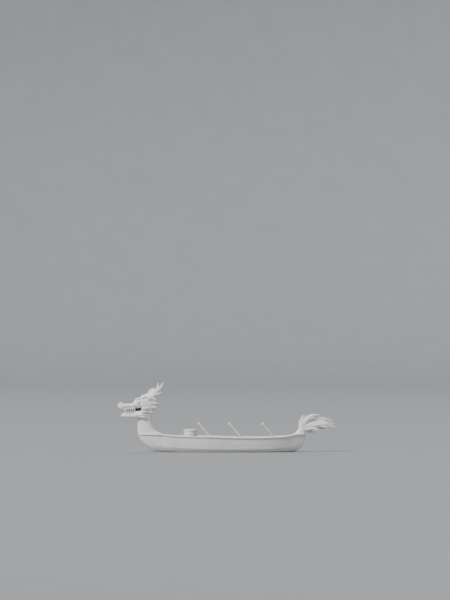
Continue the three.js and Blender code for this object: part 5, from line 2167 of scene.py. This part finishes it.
@dataclass
class Paddles:
    """The six paddles, which stand on their blades and lean forward on the benches."""

    slope: float = math.radians(48.7)
    length: float = 1.137
    shaft: float = 0.015
    blade_length: float = 0.348
    blade_half: float = 0.090
    blade_thick: float = 0.009
    corner: float = 0.064
    shoulder: float = 0.240
    grip: float = 0.016
    grip_length: float = 0.086
    # where the blade's ridge starts, how long it takes to grow, and its half width
    ridge: Point = (0.06, 0.22, 0.013)
    out: float = 0.270
    # where the grip is along the boat, and how far the blade stands from the centreline
    pairs: tuple[tuple[float, float], ...] = ((0.870, 0.130), (-0.045, 0.130), (-1.035, 0.048))

    def paddle(self) -> Form:
        """A paddle on its blade's tip, its blade facing along Z. Half breadths along it: a quarter circle at
        the foot's corners, then straight to the shoulder, then a smooth step down to the shaft. Its thickness
        is that of the blade at first, with a ridge down the middle that grows into the shaft.

        Returns:
            The paddle, its length along Y.
        """
        y = np.concatenate([self.corner * (1 - np.cos(quarter(12))),
                            np.linspace(self.corner + 0.01, self.shoulder, 16),
                            np.linspace(self.shoulder + 0.004, self.blade_length, 26),
                            np.linspace(self.blade_length + 0.02, self.length - self.grip, 12)])[:, None]
        step = ramp(y, self.shoulder, self.blade_length - self.shoulder)
        foot = self.corner * (1 - bulge(y, self.corner))
        wide = between(self.blade_half - foot, self.shaft, 1 - (1 - step) ** 2.4)
        half = self.blade_thick / 2
        thick = np.minimum(between(half, self.shaft, step), half * np.sqrt((y + 0.0015) / 0.012) + step)
        start, long, narrow = self.ridge
        ridge = (self.shaft - half) * ramp(y, start, long) ** 1.5 * (1 - step)
        sideways, upwards = oval(48).T
        x = sideways * wide
        stem = tube(grid(x, y, upwards * thick + np.sign(upwards) * ridge * bell(x, narrow)))
        t = np.linspace(-1, 1, 24)
        end = np.sqrt(np.clip(1 - np.abs(t) ** 8, 0.001, 1))
        radius = self.grip * end * (0.92 + 0.08 * np.cos(np.pi * t))
        handle = lathe(np.stack([radius, t / 2 * self.grip_length], 1), 24)
        return joined([stem, handle.turned(LAID_ALONG).moved((0, self.length - self.grip, 0))])

    def standing(self, grip: float, tip: float, side: Side, foot: float) -> Form:
        """A paddle laid along its lean: its length goes from tip to grip, and its blade faces sideways.

        Args:
            grip: where its grip is along the boat.
            tip: how far its blade stands from the centreline.
            side: its side.
            foot: the height that its lowest point stands at.

        Returns:
            The paddle in its place.
        """
        lean = [math.cos(self.slope), side.value * (self.out - tip) / self.length, math.sin(self.slope)]
        along, face = port_frame(np.array(lean))
        form = self.paddle().turned(np.stack([np.cross(along, face), along, face]))
        form = form.moved((grip - self.length * math.cos(self.slope), side.value * tip, 0))
        return form.moved((0, 0, foot - form.points[:, 2].min()))

    def build(self) -> None:
        """Builds and dresses the paddles."""
        for row, (grip, tip) in enumerate(self.pairs, 1):
            for side in Side:
                node = f"paddle_{row}_{side.word}"
                form = self.standing(grip, tip, side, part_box(node)[0][2])
                stand_in(node, form, *PADDLE_WHITE)


@dataclass
class Studio:
    """A round pale studio with its floor at the waterline, soft light, and a camera square to the port
    side."""

    floor_reach: float = 110.0
    curve: float = 34.0
    wall: float = 70.0
    under_planks: float = 0.006
    flat: float = 0.16
    distance: float = 120.0
    frame_high: float = 18.0
    middle: tuple[float, float] = (0.060, 4.556)
    sensor: float = 36.0
    # name, where it comes from, strength, and the angle in degrees that sets how soft its shadows are
    suns: tuple[tuple[str, Point, float, float], ...] = (
        ("key", (0.75, 0.62, 0.95), 4.2, 22), ("fill", (-0.9, 0.55, 0.35), 0.8, 60),
        ("back", (-0.3, -0.9, 0.6), 1.6, 50),
    )
    room: Colour = (0.92, 0.95, 1.0, 1)
    room_strength: float = 0.42

    def floor(self) -> None:
        """The floor: rings that pass from the hull's waterline, just inside the planks' outer face, to a wide
        circle, and then rise as a quarter circle into the wall."""
        line = SHAPE.waterline(60)
        inner = np.column_stack([line[:, 0], np.maximum(line[:, 1] - self.under_planks, 0.002), np.zeros(60)])
        loop = np.concatenate([inner, mirror(inner[-2:0:-1])])
        turn = np.arctan2(loop[:, 1] / self.flat, loop[:, 0])
        circle = grid(np.cos(turn), np.sin(turn), 0 * turn)
        rings = [loop]
        for share in np.linspace(0.02, 1, 24) ** 2:
            rings.append(loop * (1 - share) * (1 + 4 * share) + circle * self.floor_reach * share)
        for angle in quarter(25)[1:]:
            out = self.floor_reach + self.curve * math.sin(angle)
            rings.append(circle * out + [0, 0, self.curve * (1 - math.cos(angle))])
        rings.append(circle * (self.floor_reach + self.curve) + [0, 0, self.wall])
        skin = np.stack(rings)
        quads = ring_quads(len(skin) - 1, *skin.shape[:2])[:, ::-1]
        form = Form(skin.reshape(-1, 3), quads, np.zeros((0, 3), int))
        floor = linked("studio_floor", mesh_of("studio_floor", form, SOFT))
        floor.data.materials.append(material_of(StudioGrey("studio grey")))

    def sun(self, name: str, towards: Point, strength: float, spread: float) -> None:
        """A wide, soft light from one direction.

        Args:
            name: its name.
            towards: the direction that it comes from.
            strength: its strength.
            spread: its angle in degrees.
        """
        light = bpy.data.lights.new(name, "SUN")
        light.energy, light.angle = strength, math.radians(spread)
        lamp = linked(name, light)
        lamp.rotation_mode = "QUATERNION"
        lamp.rotation_quaternion = Vector(towards).to_track_quat("Z", "Y")

    def light(self) -> None:
        """The key, fill and back light, and the even light of the room."""
        for sun in self.suns:
            self.sun(*sun)
        world = bpy.data.worlds.new("room")
        world.use_nodes = True
        background = world.node_tree.nodes["Background"]
        background.inputs["Color"].default_value = self.room
        background.inputs["Strength"].default_value = self.room_strength
        bpy.context.scene.world = world

    def camera(self) -> None:
        """The camera: square to the port side, level, and far enough away that nothing seems nearer."""
        data = bpy.data.cameras.new("camera")
        data.sensor_width = self.sensor
        data.sensor_fit = "AUTO"
        data.lens = self.sensor * self.distance / self.frame_high
        data.clip_start, data.clip_end = 0.5, 900
        camera = linked("camera", data)
        camera.location = (self.middle[0], self.distance, self.middle[1])
        camera.rotation_euler = (math.pi / 2, 0, math.pi)
        bpy.context.scene.camera = camera

    def build(self) -> None:
        """Builds the floor, the light and the camera."""
        self.floor()
        self.light()
        self.camera()


def main() -> None:
    """Builds the sub-assemblies in order."""
    logging.basicConfig(level=logging.INFO, format="%(name)s: %(message)s")
    for part in (Hull(), Inside(), DragonHead(), Tail(), Drum(), Paddles(), Studio()):
        LOG.info("building %s", type(part).__name__)
        part.build()


if __name__ == "__main__":
    main()
